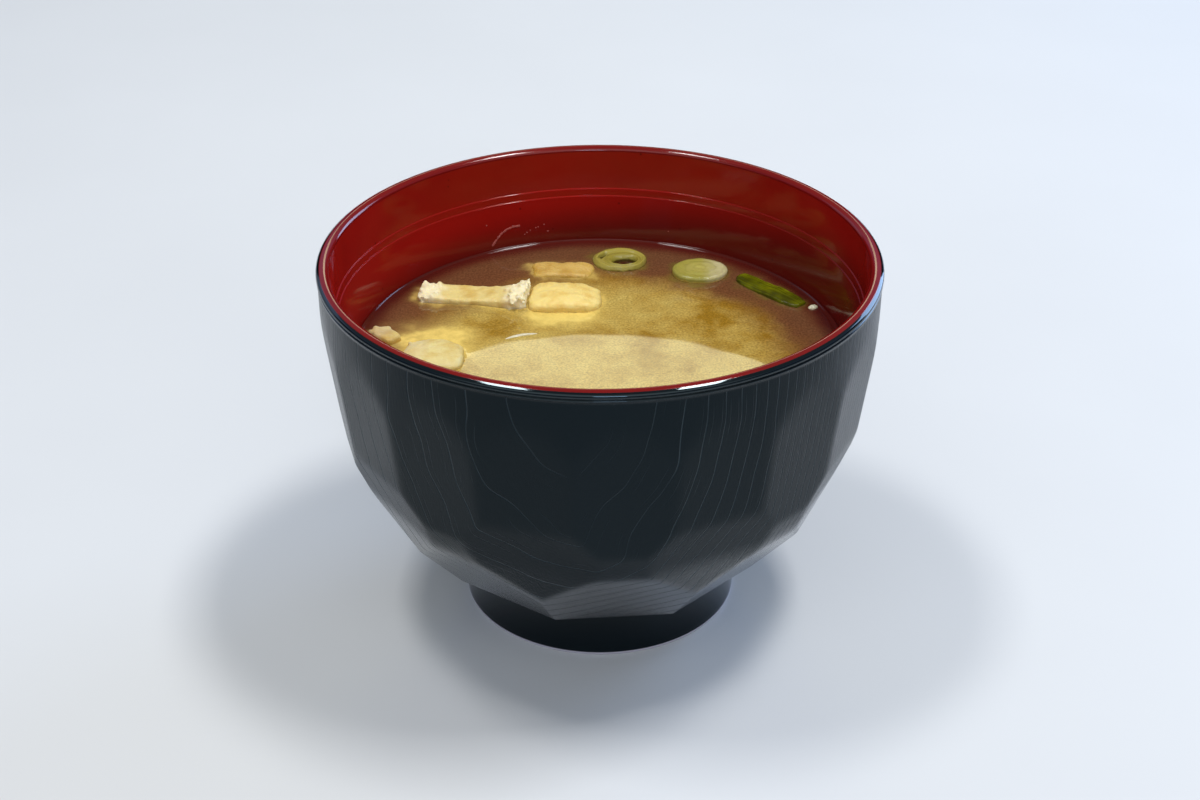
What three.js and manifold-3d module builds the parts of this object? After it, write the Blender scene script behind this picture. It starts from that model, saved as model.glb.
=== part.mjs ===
// Lacquered soup bowl with a faceted wall, filled with miso soup.
// Strips of fried tofu and slices of spring onion float in the soup.
// Units are millimetres and +Z is up. The origin is at the centre of the foot's underside.
// Azimuths are in degrees, measured from -Y (the front) towards +X (the right).

import * as THREE from 'three';
import { mergeVertices } from 'three/addons/utils/BufferGeometryUtils.js';
import Module from 'manifold-3d';

// ---------------------------------------------------------------- driving dimensions

const RIM_RADIUS = 54.9;
const BOWL_HEIGHT = 75.9;
const LIP_WIDTH = 2.6;
const LIP_OUTER_ROUND = 0.9;
const LIP_INNER_ROUND = 0.9;

// The band under the lip ends in a fine raised line. Below it the wall is a little narrower.
const RIDGE_HEIGHT = 74.1;
const RIDGE_SIZE = 0.15;
const WALL_RADIUS = 54.65;

const FOOT_RADIUS = 27.9;
const FOOT_TOP_RADIUS = 28.4;
const FOOT_RING_WIDTH = 3.4;
const FOOT_EDGE = 0.5;
const FOOT_RECESS = 7;
const BODY_BOTTOM = 11.85;
const BODY_UNDERCUT = 1.6;
const CUTTER_DROP = 0.4;

// Inside: a nearly straight upper wall, a small sloping ledge, then a deep rounded hollow.
const LEDGE_TOP = { radius: 51.75, height: 66.3 };
const LEDGE_FOOT = { radius: 50.9, height: 65.0 };
const HOLLOW_SIDE = { radius: 45, height: 42.6 };
const HOLLOW_CORNER = { radius: 47, height: 11 };
const FLOOR_HEIGHT = 11;

// The facets. An apothem is the distance from the axis to the middle of a facet.
const COLUMNS = 9;
const FACET_START = 5;
const LOW_FACET = { apothem: 31.5, height: BODY_BOTTOM };
const LOW_FACET_TOP = { apothem: 47.8, height: 31.7 };
const SHORT_FACET_TOP = { apothem: 50.8, height: 38.4 };
const KITE_FACET = { apothem: 38.9, height: BODY_BOTTOM };
const KITE_FACET_TOP = { apothem: 51.55, height: 44 };
const TALL_FACET_SLOPE = 0.13;

const SOUP_LEVEL = 55.4;
const MENISCUS_HEIGHT = 0.8;
const MENISCUS_WIDTH = 2.2;
const MENISCUS_SHARES = [1, 0.6, 0.3, 0];
const GAP = 0.3;

const BOWL_SEGMENTS = 88;
const SOUP_SEGMENTS = 56;
const HOLLOW_STEPS = 12;
const ROUND_STEPS = 4;

// Pieces of fried tofu. Each floats with its middle at `rise` above the soup's level. `flare` widens
// and thickens the end on +X, and `arch` lifts the middle above the ends.
const TOFU_PIECES = [
  { name: 'tofu_strip', x: -26.1, y: 20.9, turn: -6, length: 22.6, width: 6.6, thickness: 3.8,
    rise: 0, flare: 0.5, arch: -0.9, unevenness: 0.3, phase: 0.4 },
  { name: 'tofu_fold', x: -7.1, y: 19.5, turn: 1, length: 14.8, width: 10.8, thickness: 5,
    rise: -0.4, flare: -0.08, arch: 0.5, unevenness: 0.35, phase: 1.9 },
  { name: 'tofu_back', x: -8, y: 33.6, turn: -2, length: 13.2, width: 6.8, thickness: 4,
    rise: -1, flare: 0.02, arch: 0.2, unevenness: 0.3, phase: 3.1 },
  { name: 'tofu_side', x: -43, y: 3.4, turn: -50, length: 6.8, width: 4.2, thickness: 4,
    rise: -0.5, flare: 0.05, arch: 0.2, unevenness: 0.2, phase: 4.4 },
  { name: 'tofu_front', x: -32.8, y: -5, turn: -9, length: 12.2, width: 11.6, thickness: 5,
    rise: -0.7, flare: -0.05, arch: 0.5, unevenness: 0.4, phase: 5.2 },
];
const TOFU_SQUARENESS = 5;
const TOFU_STEPS = { length: 10, width: 5, thickness: 2 };
const TOFU_WAVES = { lengthwise: 4.1, slanting: 2.3, crosswise: 3.7 };

const ONION_RING = { x: 4.2, y: 38.3, turn: 4, length: 11.8, width: 10.4, thickness: 3, rise: -0.4 };
const ONION_RING_HOLES = [
  { length: 5, width: 3.6, hole: { x: 1, y: -1.3, turn: 0 } },
  { length: 3, width: 0.9, hole: { x: -3.6, y: 1.3, turn: 52 } },
];
const ONION_DISC = { x: 21.2, y: 32.5, turn: 6, length: 11.6, width: 10.2, thickness: 3, rise: -0.2 };
const ONION_EDGE = 0.5;
const ONION_SEGMENTS = 24;

const ONION_LEAF = { x: 35.6, y: 23.6, turn: -47, length: 17.6, width: 4.8, thickness: 1.4,
  rise: 0.1, arch: 1.1, taper: 0.8, ripple: 0.15, ripples: 5, steps: 14, rows: 5 };

// Small bits on the soup: a scrap of onion by the wall and a thin shred near the middle.
const ONION_SCRAP = { x: 43.9, y: 16.7, turn: 25, length: 2.2, width: 1.6, thickness: 1.2 };
const ONION_SHRED = { x: -15.8, y: 4.1, turn: 20, length: 6.8, width: 0.8, thickness: 0.6 };

const COLOURS = {
  bowl: 0x23292f,
  soup: 0xb3934c,
  tofu: 0xe9cf86,
  paleOnion: 0xcfc87a,
  greenOnion: 0x7f9c2c,
};

// ---------------------------------------------------------------- joining and cutting

const wasm = await Module();
wasm.setup();

function toSolid(geometry) {
  geometry.deleteAttribute('normal');
  geometry.deleteAttribute('uv');
  const merged = mergeVertices(geometry, 1e-4);
  return new wasm.Manifold(new wasm.Mesh({
    numProp: 3,
    vertProperties: new Float32Array(merged.attributes.position.array),
    triVerts: new Uint32Array(merged.index.array),
  }));
}

function toGeometry(solid) {
  const mesh = solid.getMesh();
  const geometry = new THREE.BufferGeometry();
  geometry.setAttribute('position', new THREE.BufferAttribute(mesh.vertProperties, 3));
  geometry.setIndex(new THREE.BufferAttribute(mesh.triVerts, 1));
  geometry.computeVertexNormals();
  return geometry;
}

function cutFrom(solid, cutters) {
  return cutters.reduce((rest, cutter) => rest.subtract(cutter), solid);
}

// ---------------------------------------------------------------- outlines

const radians = THREE.MathUtils.degToRad;

function point({ radius, height }) {
  return new THREE.Vector2(radius, height);
}

// A quarter round from one corner of a profile to the other.
function roundCorner(centreX, centreY, radius, fromDegrees, toDegrees) {
  return Array.from({ length: ROUND_STEPS + 1 }, (_, i) => {
    const angle = radians(fromDegrees + (toDegrees - fromDegrees) * i / ROUND_STEPS);
    return new THREE.Vector2(centreX + radius * Math.cos(angle), centreY + radius * Math.sin(angle));
  });
}

// The rounded hollow, from the ledge down to the middle of the floor.
function hollowCurve() {
  return new THREE.CubicBezierCurve(
    point(LEDGE_FOOT),
    point(HOLLOW_SIDE),
    point(HOLLOW_CORNER),
    new THREE.Vector2(0, FLOOR_HEIGHT),
  );
}

// A profile turned about the Z axis. It runs from the bottom of the axis round the outside.
function turned(points, segments) {
  return new THREE.LatheGeometry(points, segments).rotateX(Math.PI / 2);
}

// ---------------------------------------------------------------- bowl

function footProfile() {
  const ringInside = FOOT_RADIUS - FOOT_RING_WIDTH;
  return [
    new THREE.Vector2(0, FOOT_RECESS),
    new THREE.Vector2(ringInside - BODY_UNDERCUT, FOOT_RECESS),
    new THREE.Vector2(ringInside, FOOT_RECESS - BODY_UNDERCUT),
    new THREE.Vector2(ringInside, FOOT_EDGE),
    new THREE.Vector2(ringInside + FOOT_EDGE, 0),
    ...roundCorner(FOOT_RADIUS - FOOT_EDGE, FOOT_EDGE, FOOT_EDGE, -90, 0),
    new THREE.Vector2(FOOT_TOP_RADIUS, BODY_BOTTOM - BODY_UNDERCUT),
    new THREE.Vector2(FOOT_TOP_RADIUS + BODY_UNDERCUT, BODY_BOTTOM),
  ];
}

function wallProfile() {
  const lipTop = BOWL_HEIGHT;
  const lipInside = RIM_RADIUS - LIP_WIDTH;
  return [
    new THREE.Vector2(WALL_RADIUS, BODY_BOTTOM),
    new THREE.Vector2(WALL_RADIUS, RIDGE_HEIGHT - RIDGE_SIZE),
    new THREE.Vector2(WALL_RADIUS + RIDGE_SIZE, RIDGE_HEIGHT),
    new THREE.Vector2(WALL_RADIUS + RIDGE_SIZE / 2, RIDGE_HEIGHT + RIDGE_SIZE),
    ...roundCorner(RIM_RADIUS - LIP_OUTER_ROUND, lipTop - LIP_OUTER_ROUND, LIP_OUTER_ROUND, 0, 90),
    ...roundCorner(lipInside + LIP_INNER_ROUND, lipTop - LIP_INNER_ROUND, LIP_INNER_ROUND, 90, 180),
    point(LEDGE_TOP),
    ...hollowCurve().getPoints(HOLLOW_STEPS),
  ];
}

// A long bar with its section in the radial plane. It takes away all that lies outside a column
// of facets, whose middle line runs through the given points.
function facetCutter(middleLine, azimuth) {
  const reach = RIM_RADIUS * 2;
  const shape = new THREE.Shape(middleLine);
  const top = middleLine[middleLine.length - 1];
  const bottom = middleLine[0];
  shape.lineTo(reach, top.y);
  shape.lineTo(reach, bottom.y);
  shape.closePath();
  const bar = new THREE.ExtrudeGeometry(shape, { depth: 2 * reach, bevelEnabled: false, steps: 1 });
  bar.translate(0, 0, -reach);
  bar.rotateX(Math.PI / 2);
  bar.rotateZ(radians(azimuth - 90));
  return toSolid(bar);
}

// A facet's plane, carried on below the body so that no face of the cutter lies on the underside.
function carriedOn(lower, upper) {
  const slope = (upper.apothem - lower.apothem) / (upper.height - lower.height);
  return new THREE.Vector2(lower.apothem - slope * CUTTER_DROP, lower.height - CUTTER_DROP);
}

function tallFacetTop(lower) {
  return new THREE.Vector2(lower.apothem + TALL_FACET_SLOPE * (BOWL_HEIGHT - lower.height), BOWL_HEIGHT);
}

// Nine columns with a low, a short and a tall facet, and nine with a kite and a tall facet.
function facetCutters() {
  const lowColumn = [
    carriedOn(LOW_FACET, LOW_FACET_TOP),
    new THREE.Vector2(LOW_FACET_TOP.apothem, LOW_FACET_TOP.height),
    new THREE.Vector2(SHORT_FACET_TOP.apothem, SHORT_FACET_TOP.height),
    tallFacetTop(SHORT_FACET_TOP),
  ];
  const kiteColumn = [
    carriedOn(KITE_FACET, KITE_FACET_TOP),
    new THREE.Vector2(KITE_FACET_TOP.apothem, KITE_FACET_TOP.height),
    tallFacetTop(KITE_FACET_TOP),
  ];
  const turn = 360 / COLUMNS;
  return Array.from({ length: COLUMNS }, (_, i) => [
    facetCutter(lowColumn, FACET_START + turn * i),
    facetCutter(kiteColumn, FACET_START + turn * (i + 0.5)),
  ]).flat();
}

function bowlGeometry() {
  const blank = toSolid(turned([...footProfile(), ...wallProfile()], BOWL_SEGMENTS));
  return toGeometry(cutFrom(blank, facetCutters()));
}

// ---------------------------------------------------------------- toppings

function place(geometry, { x, y, turn }, height) {
  return geometry.rotateZ(radians(turn)).translate(x, y, height);
}

// A block with rounded corners, flared ends, an arched back and slightly uneven faces.
function tofuSolid(piece, margin) {
  const { length, width, thickness, flare, arch, unevenness, phase } = piece;
  const { length: alongSteps, width: acrossSteps, thickness: upSteps } = TOFU_STEPS;
  const block = new THREE.BoxGeometry(2, 2, 2, alongSteps, acrossSteps, upSteps);
  const corner = new THREE.Vector3();
  const position = block.attributes.position;
  for (let i = 0; i < position.count; i += 1) {
    corner.fromBufferAttribute(position, i);
    const powers = corner.toArray().map((value) => Math.abs(value) ** TOFU_SQUARENESS);
    const scale = (powers[0] + powers[1] + powers[2]) ** (-1 / TOFU_SQUARENESS);
    corner.multiplyScalar(scale);
    const slantingWave = Math.sin(corner.x * TOFU_WAVES.lengthwise + corner.y * TOFU_WAVES.slanting + phase);
    const crossWave = Math.sin(corner.y * TOFU_WAVES.crosswise - 2 * phase);
    const swell = unevenness * (slantingWave + crossWave) / 2;
    const growth = 1 + flare * ((1 + corner.x) / 2) ** 4;
    const along = corner.x * (length / 2 + margin + swell);
    const across = corner.y * (width / 2 * growth + margin + swell);
    const up = corner.z * (thickness / 2 * growth + margin + swell / 2) + arch * (0.5 - corner.x ** 2);
    position.setXYZ(i, along, across, up);
  }
  return toSolid(place(block, piece, SOUP_LEVEL + piece.rise));
}

// An oval about its own middle, or about the place of a hole in its slice, grown in length and width.
function grownOval({ length, width, hole = { x: 0, y: 0, turn: 0 } }, growth) {
  const { x, y, turn } = hole;
  const shape = new THREE.Shape();
  shape.absellipse(x, y, (length + growth) / 2, (width + growth) / 2, 0, 2 * Math.PI, false, radians(turn));
  return shape;
}

// A flat oval slice with softened edges, grown by the margin on every side. Its holes shrink by the
// margin, and a hole that would be left as a thin slot is closed.
function sliceSolid(slice, holes, margin) {
  const height = slice.thickness + 2 * margin;
  const inset = 2 * (margin - ONION_EDGE);
  const level = SOUP_LEVEL + slice.rise;
  const body = new THREE.ExtrudeGeometry(grownOval(slice, inset), {
    depth: height - 2 * ONION_EDGE,
    bevelThickness: ONION_EDGE,
    bevelSize: ONION_EDGE,
    bevelSegments: 2,
    curveSegments: ONION_SEGMENTS / 2,
    steps: 1,
  });
  body.translate(0, 0, ONION_EDGE - height / 2);
  const openHoles = holes.filter((hole) => hole.width > 4 * margin);
  const bars = openHoles.map((hole) => {
    const bar = new THREE.ExtrudeGeometry(grownOval(hole, -2 * margin), {
      depth: 2 * height,
      bevelEnabled: false,
      curveSegments: ONION_SEGMENTS / 2,
      steps: 1,
    });
    bar.translate(0, 0, -height);
    return toSolid(place(bar, slice, level));
  });
  return cutFrom(toSolid(place(body, slice, level)), bars);
}

// A slanted cut of the green leaf: a thin strip with pointed ends, arched like a piece of tube.
function leafSolid(leaf, margin) {
  const { length, width, thickness, arch, taper, ripple, ripples, steps, rows } = leaf;
  const strip = new THREE.BoxGeometry(2, 2, 2, steps, rows, 1);
  const position = strip.attributes.position;
  for (let i = 0; i < position.count; i += 1) {
    const along = position.getX(i);
    const share = Math.sqrt(1 - taper * along ** 4);
    const x = along * (length / 2 + margin);
    const y = position.getY(i) * (width / 2 * share + margin);
    const side = 2 * y / width;
    const end = 2 * x / length;
    const middle = arch * (0.5 - side ** 2 - 0.5 * end ** 2) + ripple * Math.sin(ripples * end);
    position.setXYZ(i, x, y, middle + position.getZ(i) * (thickness / 2 + margin));
  }
  return toSolid(place(strip, leaf, SOUP_LEVEL + leaf.rise));
}

// ---------------------------------------------------------------- soup

// The soup fills the hollow to its level and climbs a little at the wall.
function soupProfile() {
  const curve = hollowCurve();
  const rimHeight = SOUP_LEVEL + MENISCUS_HEIGHT;
  const side = [];
  for (let i = 0; i <= HOLLOW_STEPS; i += 1) {
    const t = 1 - i / HOLLOW_STEPS;
    const tangent = curve.getTangent(t);
    const wall = curve.getPoint(t);
    const inset = new THREE.Vector2(wall.x + tangent.y * GAP, wall.y - tangent.x * GAP);
    if (inset.y < rimHeight) {
      side.push(new THREE.Vector2(Math.max(inset.x, 0), inset.y));
    }
  }
  const last = side[side.length - 1];
  const outerRadius = last.x + (rimHeight - last.y) * (LEDGE_FOOT.radius - HOLLOW_SIDE.radius)
    / (LEDGE_FOOT.height - HOLLOW_SIDE.height);
  const meniscus = MENISCUS_SHARES.map((share) => new THREE.Vector2(
    outerRadius - MENISCUS_WIDTH * (1 - share),
    SOUP_LEVEL + MENISCUS_HEIGHT * share ** 2,
  ));
  return [...side, ...meniscus, new THREE.Vector2(0, SOUP_LEVEL)];
}

function scrapSolid(scrap) {
  const { length, width, thickness } = scrap;
  const block = new THREE.BoxGeometry(length, width, thickness);
  return toSolid(place(block, scrap, SOUP_LEVEL));
}

function soupGeometry(pockets) {
  const liquid = toSolid(turned(soupProfile(), SOUP_SEGMENTS));
  const withScraps = liquid.add(scrapSolid(ONION_SCRAP)).add(scrapSolid(ONION_SHRED));
  return toGeometry(cutFrom(withScraps, pockets));
}

// ---------------------------------------------------------------- assembly

function material(name, color, roughness) {
  return new THREE.MeshStandardMaterial({ name, color, roughness, metalness: 0 });
}

function mesh(name, geometry, finish) {
  const piece = new THREE.Mesh(geometry, finish);
  piece.name = name;
  return piece;
}

// Every topping as its geometry and the larger pocket that the soup leaves for it.
function toppings() {
  const tofu = material('fried_tofu', COLOURS.tofu, 0.6);
  const pale = material('pale_onion', COLOURS.paleOnion, 0.45);
  const green = material('green_onion', COLOURS.greenOnion, 0.4);
  const list = TOFU_PIECES.map((piece) => ({
    name: piece.name,
    finish: tofu,
    make: (margin) => tofuSolid(piece, margin),
  }));
  return [
    ...list,
    { name: 'onion_ring', finish: pale, make: (margin) => sliceSolid(ONION_RING, ONION_RING_HOLES, margin) },
    { name: 'onion_disc', finish: pale, make: (margin) => sliceSolid(ONION_DISC, [], margin) },
    { name: 'onion_leaf', finish: green, make: (margin) => leafSolid(ONION_LEAF, margin) },
  ];
}

const misoSoup = new THREE.Group();
misoSoup.name = 'miso_soup';

misoSoup.add(mesh('bowl', bowlGeometry(), material('black_lacquer', COLOURS.bowl, 0.35)));

const pockets = [];
for (const { name, finish, make } of toppings()) {
  misoSoup.add(mesh(name, toGeometry(make(0)), finish));
  pockets.push(make(GAP));
}

misoSoup.add(mesh('soup', soupGeometry(pockets), material('miso_soup', COLOURS.soup, 0.15)));

export default misoSoup;
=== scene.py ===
"""Bowl of miso soup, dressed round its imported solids.

A faceted bowl of black and red lacquered resin holds cloudy soup, in which strips of fried tofu and slices of
spring onion float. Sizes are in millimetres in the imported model's frame: +Z up, -Y to the front and the origin
at the centre of the foot's underside. Azimuths are in degrees, from -Y (the front) towards +X (the right).
"""

import logging
import math
import random
from dataclasses import dataclass
from enum import Enum
from typing import ClassVar

import bmesh
import bpy
from mathutils import Matrix, Vector, noise

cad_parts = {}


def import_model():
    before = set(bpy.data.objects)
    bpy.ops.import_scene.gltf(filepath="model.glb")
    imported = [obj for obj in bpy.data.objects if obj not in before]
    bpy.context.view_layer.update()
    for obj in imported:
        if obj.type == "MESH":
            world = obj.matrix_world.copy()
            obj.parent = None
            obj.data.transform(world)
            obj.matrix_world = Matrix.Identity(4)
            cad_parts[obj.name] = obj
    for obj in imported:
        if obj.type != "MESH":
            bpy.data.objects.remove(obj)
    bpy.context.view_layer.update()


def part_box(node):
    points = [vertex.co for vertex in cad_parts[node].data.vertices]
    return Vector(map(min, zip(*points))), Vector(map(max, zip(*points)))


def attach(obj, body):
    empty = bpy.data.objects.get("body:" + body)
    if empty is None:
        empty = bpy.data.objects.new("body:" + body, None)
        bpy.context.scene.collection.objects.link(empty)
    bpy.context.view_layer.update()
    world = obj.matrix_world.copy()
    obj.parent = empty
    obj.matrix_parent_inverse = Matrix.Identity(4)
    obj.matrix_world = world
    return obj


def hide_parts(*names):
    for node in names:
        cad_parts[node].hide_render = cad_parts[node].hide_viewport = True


log = logging.getLogger("miso_soup")

MM = 0.001
BODY = "root"
Z_AXIS = Vector((0, 0, 1))
LEVEL_ONLY = (1, 1, 0)
MIX_A, MIX_B, MIX_COLOUR = 6, 7, 2

Place = tuple[float, float]
Spot = tuple[float, float, float]
Span = tuple[float, float, float, float]
Shape = bmesh.types.BMesh
Tree = bpy.types.NodeTree
Socket = bpy.types.NodeSocket
Material = bpy.types.Material
Piece = bpy.types.Object


class Slot(Enum):
    """The record's material slots."""

    BOWL = "black_lacquer"
    SOUP = "miso_soup"
    TOFU = "fried_tofu"
    PALE_ONION = "pale_onion"
    GREEN_ONION = "green_onion"


# ---------------------------------------------------------------- small helpers


def linear(code: str) -> tuple[float, float, float, float]:
    """Turn an sRGB colour into the linear one that shaders use.

    Args:
        code: The colour as #rrggbb.

    Returns:
        Red, green, blue and an alpha of 1.
    """
    shares = [int(code[i:i + 2], 16) / 255 for i in (1, 3, 5)]
    red, green, blue = (s / 12.92 if s <= 0.04045 else ((s + 0.055) / 1.055) ** 2.4 for s in shares)
    return red, green, blue, 1.0


def smooth_step(low: float, high: float, value: float) -> float:
    """Rise softly from 0 at low to 1 at high."""
    share = min(max((value - low) / (high - low), 0.0), 1.0)
    return share * share * (3 - 2 * share)


def add_node(tree: Tree, kind: str, inputs: dict | tuple = (), out: int | str = 0,
             stops: dict[float, str] | None = None, **settings: object) -> Socket | None:
    """Add a shader node with its settings and links.

    Args:
        tree: The tree of the material or the world.
        kind: The node's type, without the ShaderNode before it.
        inputs: What the inputs take, by name or number, or in order from the first: a value, an sRGB colour or
            another node's output.
        out: The output that is wanted, by name or number.
        stops: The colours of a colour ramp, by their places.
        settings: The node's own options.

    Returns:
        The wanted output, or None if the node has no outputs.
    """
    node = tree.nodes.new(f"ShaderNode{kind}")
    for name, value in settings.items():
        setattr(node, name, value)
    for key, value in inputs.items() if isinstance(inputs, dict) else enumerate(inputs):
        if isinstance(value, Socket):
            tree.links.new(value, node.inputs[key])
        elif isinstance(value, str):
            node.inputs[key].default_value = linear(value)[:len(node.inputs[key].default_value)]
        else:
            node.inputs[key].default_value = value
    if stops:
        elements = node.color_ramp.elements
        while len(elements) < len(stops):
            elements.new(0.5)
        for element, (place, colour) in zip(elements, sorted(stops.items())):
            element.position = place
            element.color = linear(colour)
    return node.outputs[out] if node.outputs else None


def new_piece(name: str, shape: Shape, *materials: Material) -> Piece:
    """Turn a bmesh in millimetres into a smooth-shaded object at the origin.

    Args:
        name: The piece's name.
        shape: The finished bmesh, which is freed.
        materials: The piece's materials, in the order of its faces' material numbers.

    Returns:
        The linked object.
    """
    bmesh.ops.scale(shape, vec=(MM, MM, MM), verts=shape.verts)
    for face in shape.faces:
        face.smooth = True
    mesh = bpy.data.meshes.new(name)
    shape.to_mesh(mesh)
    shape.free()
    piece = bpy.data.objects.new(name, mesh)
    bpy.context.scene.collection.objects.link(piece)
    for material in materials:
        mesh.materials.append(material)
    return piece


def stand_for(piece: Piece, node: str) -> None:
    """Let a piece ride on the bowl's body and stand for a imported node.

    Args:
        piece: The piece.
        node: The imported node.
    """
    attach(piece, BODY)
    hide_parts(node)
    log.info("%s stands for %s with %d faces", piece.name, node, len(piece.data.polygons))


def spin_turn(shape: Shape, sections: list[list[Place]], steps: int, doublings: int, closed: bool = False,
              distance: float = 1e-4) -> None:
    """Spin sections in the XZ plane through a full turn: one wedge first, which is doubled until it closes.

    Args:
        shape: The bmesh that takes the turned form, with outward faces.
        sections: Radius and height of each section's points; its number is its faces' material number.
        steps: How many steps the full turn has.
        doublings: How often the wedge is doubled.
        closed: Whether a section's last point is joined to its first.
        distance: How near two points of a seam lie that are merged.
    """
    wedge = math.tau / 2 ** doublings
    for number, points in enumerate(sections):
        known = set(shape.faces)
        verts = [shape.verts.new((radius, 0, height)) for radius, height in points]
        pairs = list(zip(verts, verts[1:])) + ([(verts[-1], verts[0])] if closed else [])
        edges = [shape.edges.new(pair) for pair in pairs]
        bmesh.ops.spin(shape, geom=verts + edges, cent=(0, 0, 0), axis=Z_AXIS, dvec=(0, 0, 0), angle=wedge,
                       steps=steps // 2 ** doublings)
        for face in set(shape.faces) - known:
            face.material_index = number
    for doubling in range(doublings):
        copy = bmesh.ops.duplicate(shape, geom=shape.verts[:] + shape.edges[:] + shape.faces[:])
        verts = [item for item in copy["geom"] if isinstance(item, bmesh.types.BMVert)]
        bmesh.ops.rotate(shape, cent=(0, 0, 0), matrix=Matrix.Rotation(wedge * 2 ** doubling, 3, "Z"), verts=verts)
    bmesh.ops.remove_doubles(shape, verts=shape.verts, dist=distance)
    bmesh.ops.recalc_face_normals(shape, faces=shape.faces)


def round_corner(centre: Place, radius: float, start: float, end: float, steps: int) -> list[Place]:
    """Give points along a round corner of a section.

    Args:
        centre: The corner's centre, as radius and height.
        radius: The corner's own radius.
        start: The angle of the first point, in degrees.
        end: The angle of the last point, in degrees.
        steps: How many stretches the corner has.

    Returns:
        Radius and height of each point.
    """
    angles = [math.radians(start + (end - start) * i / steps) for i in range(steps + 1)]
    return [(centre[0] + radius * math.cos(a), centre[1] + radius * math.sin(a)) for a in angles]


def past_flat(centre: Place, angle: float, width: float) -> Place:
    """Give the centre of a round corner's second half, past a narrow flat at an angle in degrees."""
    turn = math.radians(angle)
    return centre[0] - width * math.sin(turn), centre[1] + width * math.cos(turn)


def ease_corners(points: list[Place], reach: float) -> list[Place]:
    """Replace each inner point of a section by a tight bend with a supporting point on either side.

    Args:
        points: The section's points.
        reach: How far from the corner the bend starts.

    Returns:
        The eased section.
    """
    flat = [Vector(point) for point in points]
    eased = [points[0]]
    for before, corner, after in zip(flat, flat[1:], flat[2:]):
        back, ahead = (before - corner).normalized() * reach, (after - corner).normalized() * reach
        bend = (corner + back * 2, corner + back, corner + (back + ahead) * 0.25, corner + ahead,
                corner + ahead * 2)
        eased += [tuple(point) for point in bend]
    return eased + [points[-1]]


# ---------------------------------------------------------------- finishes


@dataclass(frozen=True)
class Pattern:
    """A noise: how many of its waves one millimetre has, and how deep and how rough their detail is."""

    per_mm: float
    detail: float = 2.0
    roughness: float = 0.5

    def at(self, place: Socket) -> dict[str, object]:
        """Give what a noise node takes to show the pattern at a place."""
        return {"Vector": place, "Scale": self.per_mm, "Detail": self.detail, "Roughness": self.roughness}


@dataclass(frozen=True)
class Finish:
    """A finish, named for what the real one is. Each kind of finish says what its shader takes."""

    name: str

    def sockets(self, tree: Tree, place: Socket) -> dict[str, object]:
        """Build the finish's nodes.

        Args:
            tree: The material's tree.
            place: The piece's own coordinates, in millimetres.

        Returns:
            What the shader's sockets take.
        """
        raise NotImplementedError

    def make(self) -> Material:
        """Make the material.

        Returns:
            The material.
        """
        material = bpy.data.materials.new(self.name)
        material.use_nodes = True
        tree = material.node_tree
        tree.nodes.clear()
        metres = add_node(tree, "TexCoord", out="Object")
        place = add_node(tree, "VectorMath", {0: metres, 3: 1 / MM}, operation="SCALE")
        shader = add_node(tree, "BsdfPrincipled", self.sockets(tree, place))
        add_node(tree, "OutputMaterial", {"Surface": shader})
        return material


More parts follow.
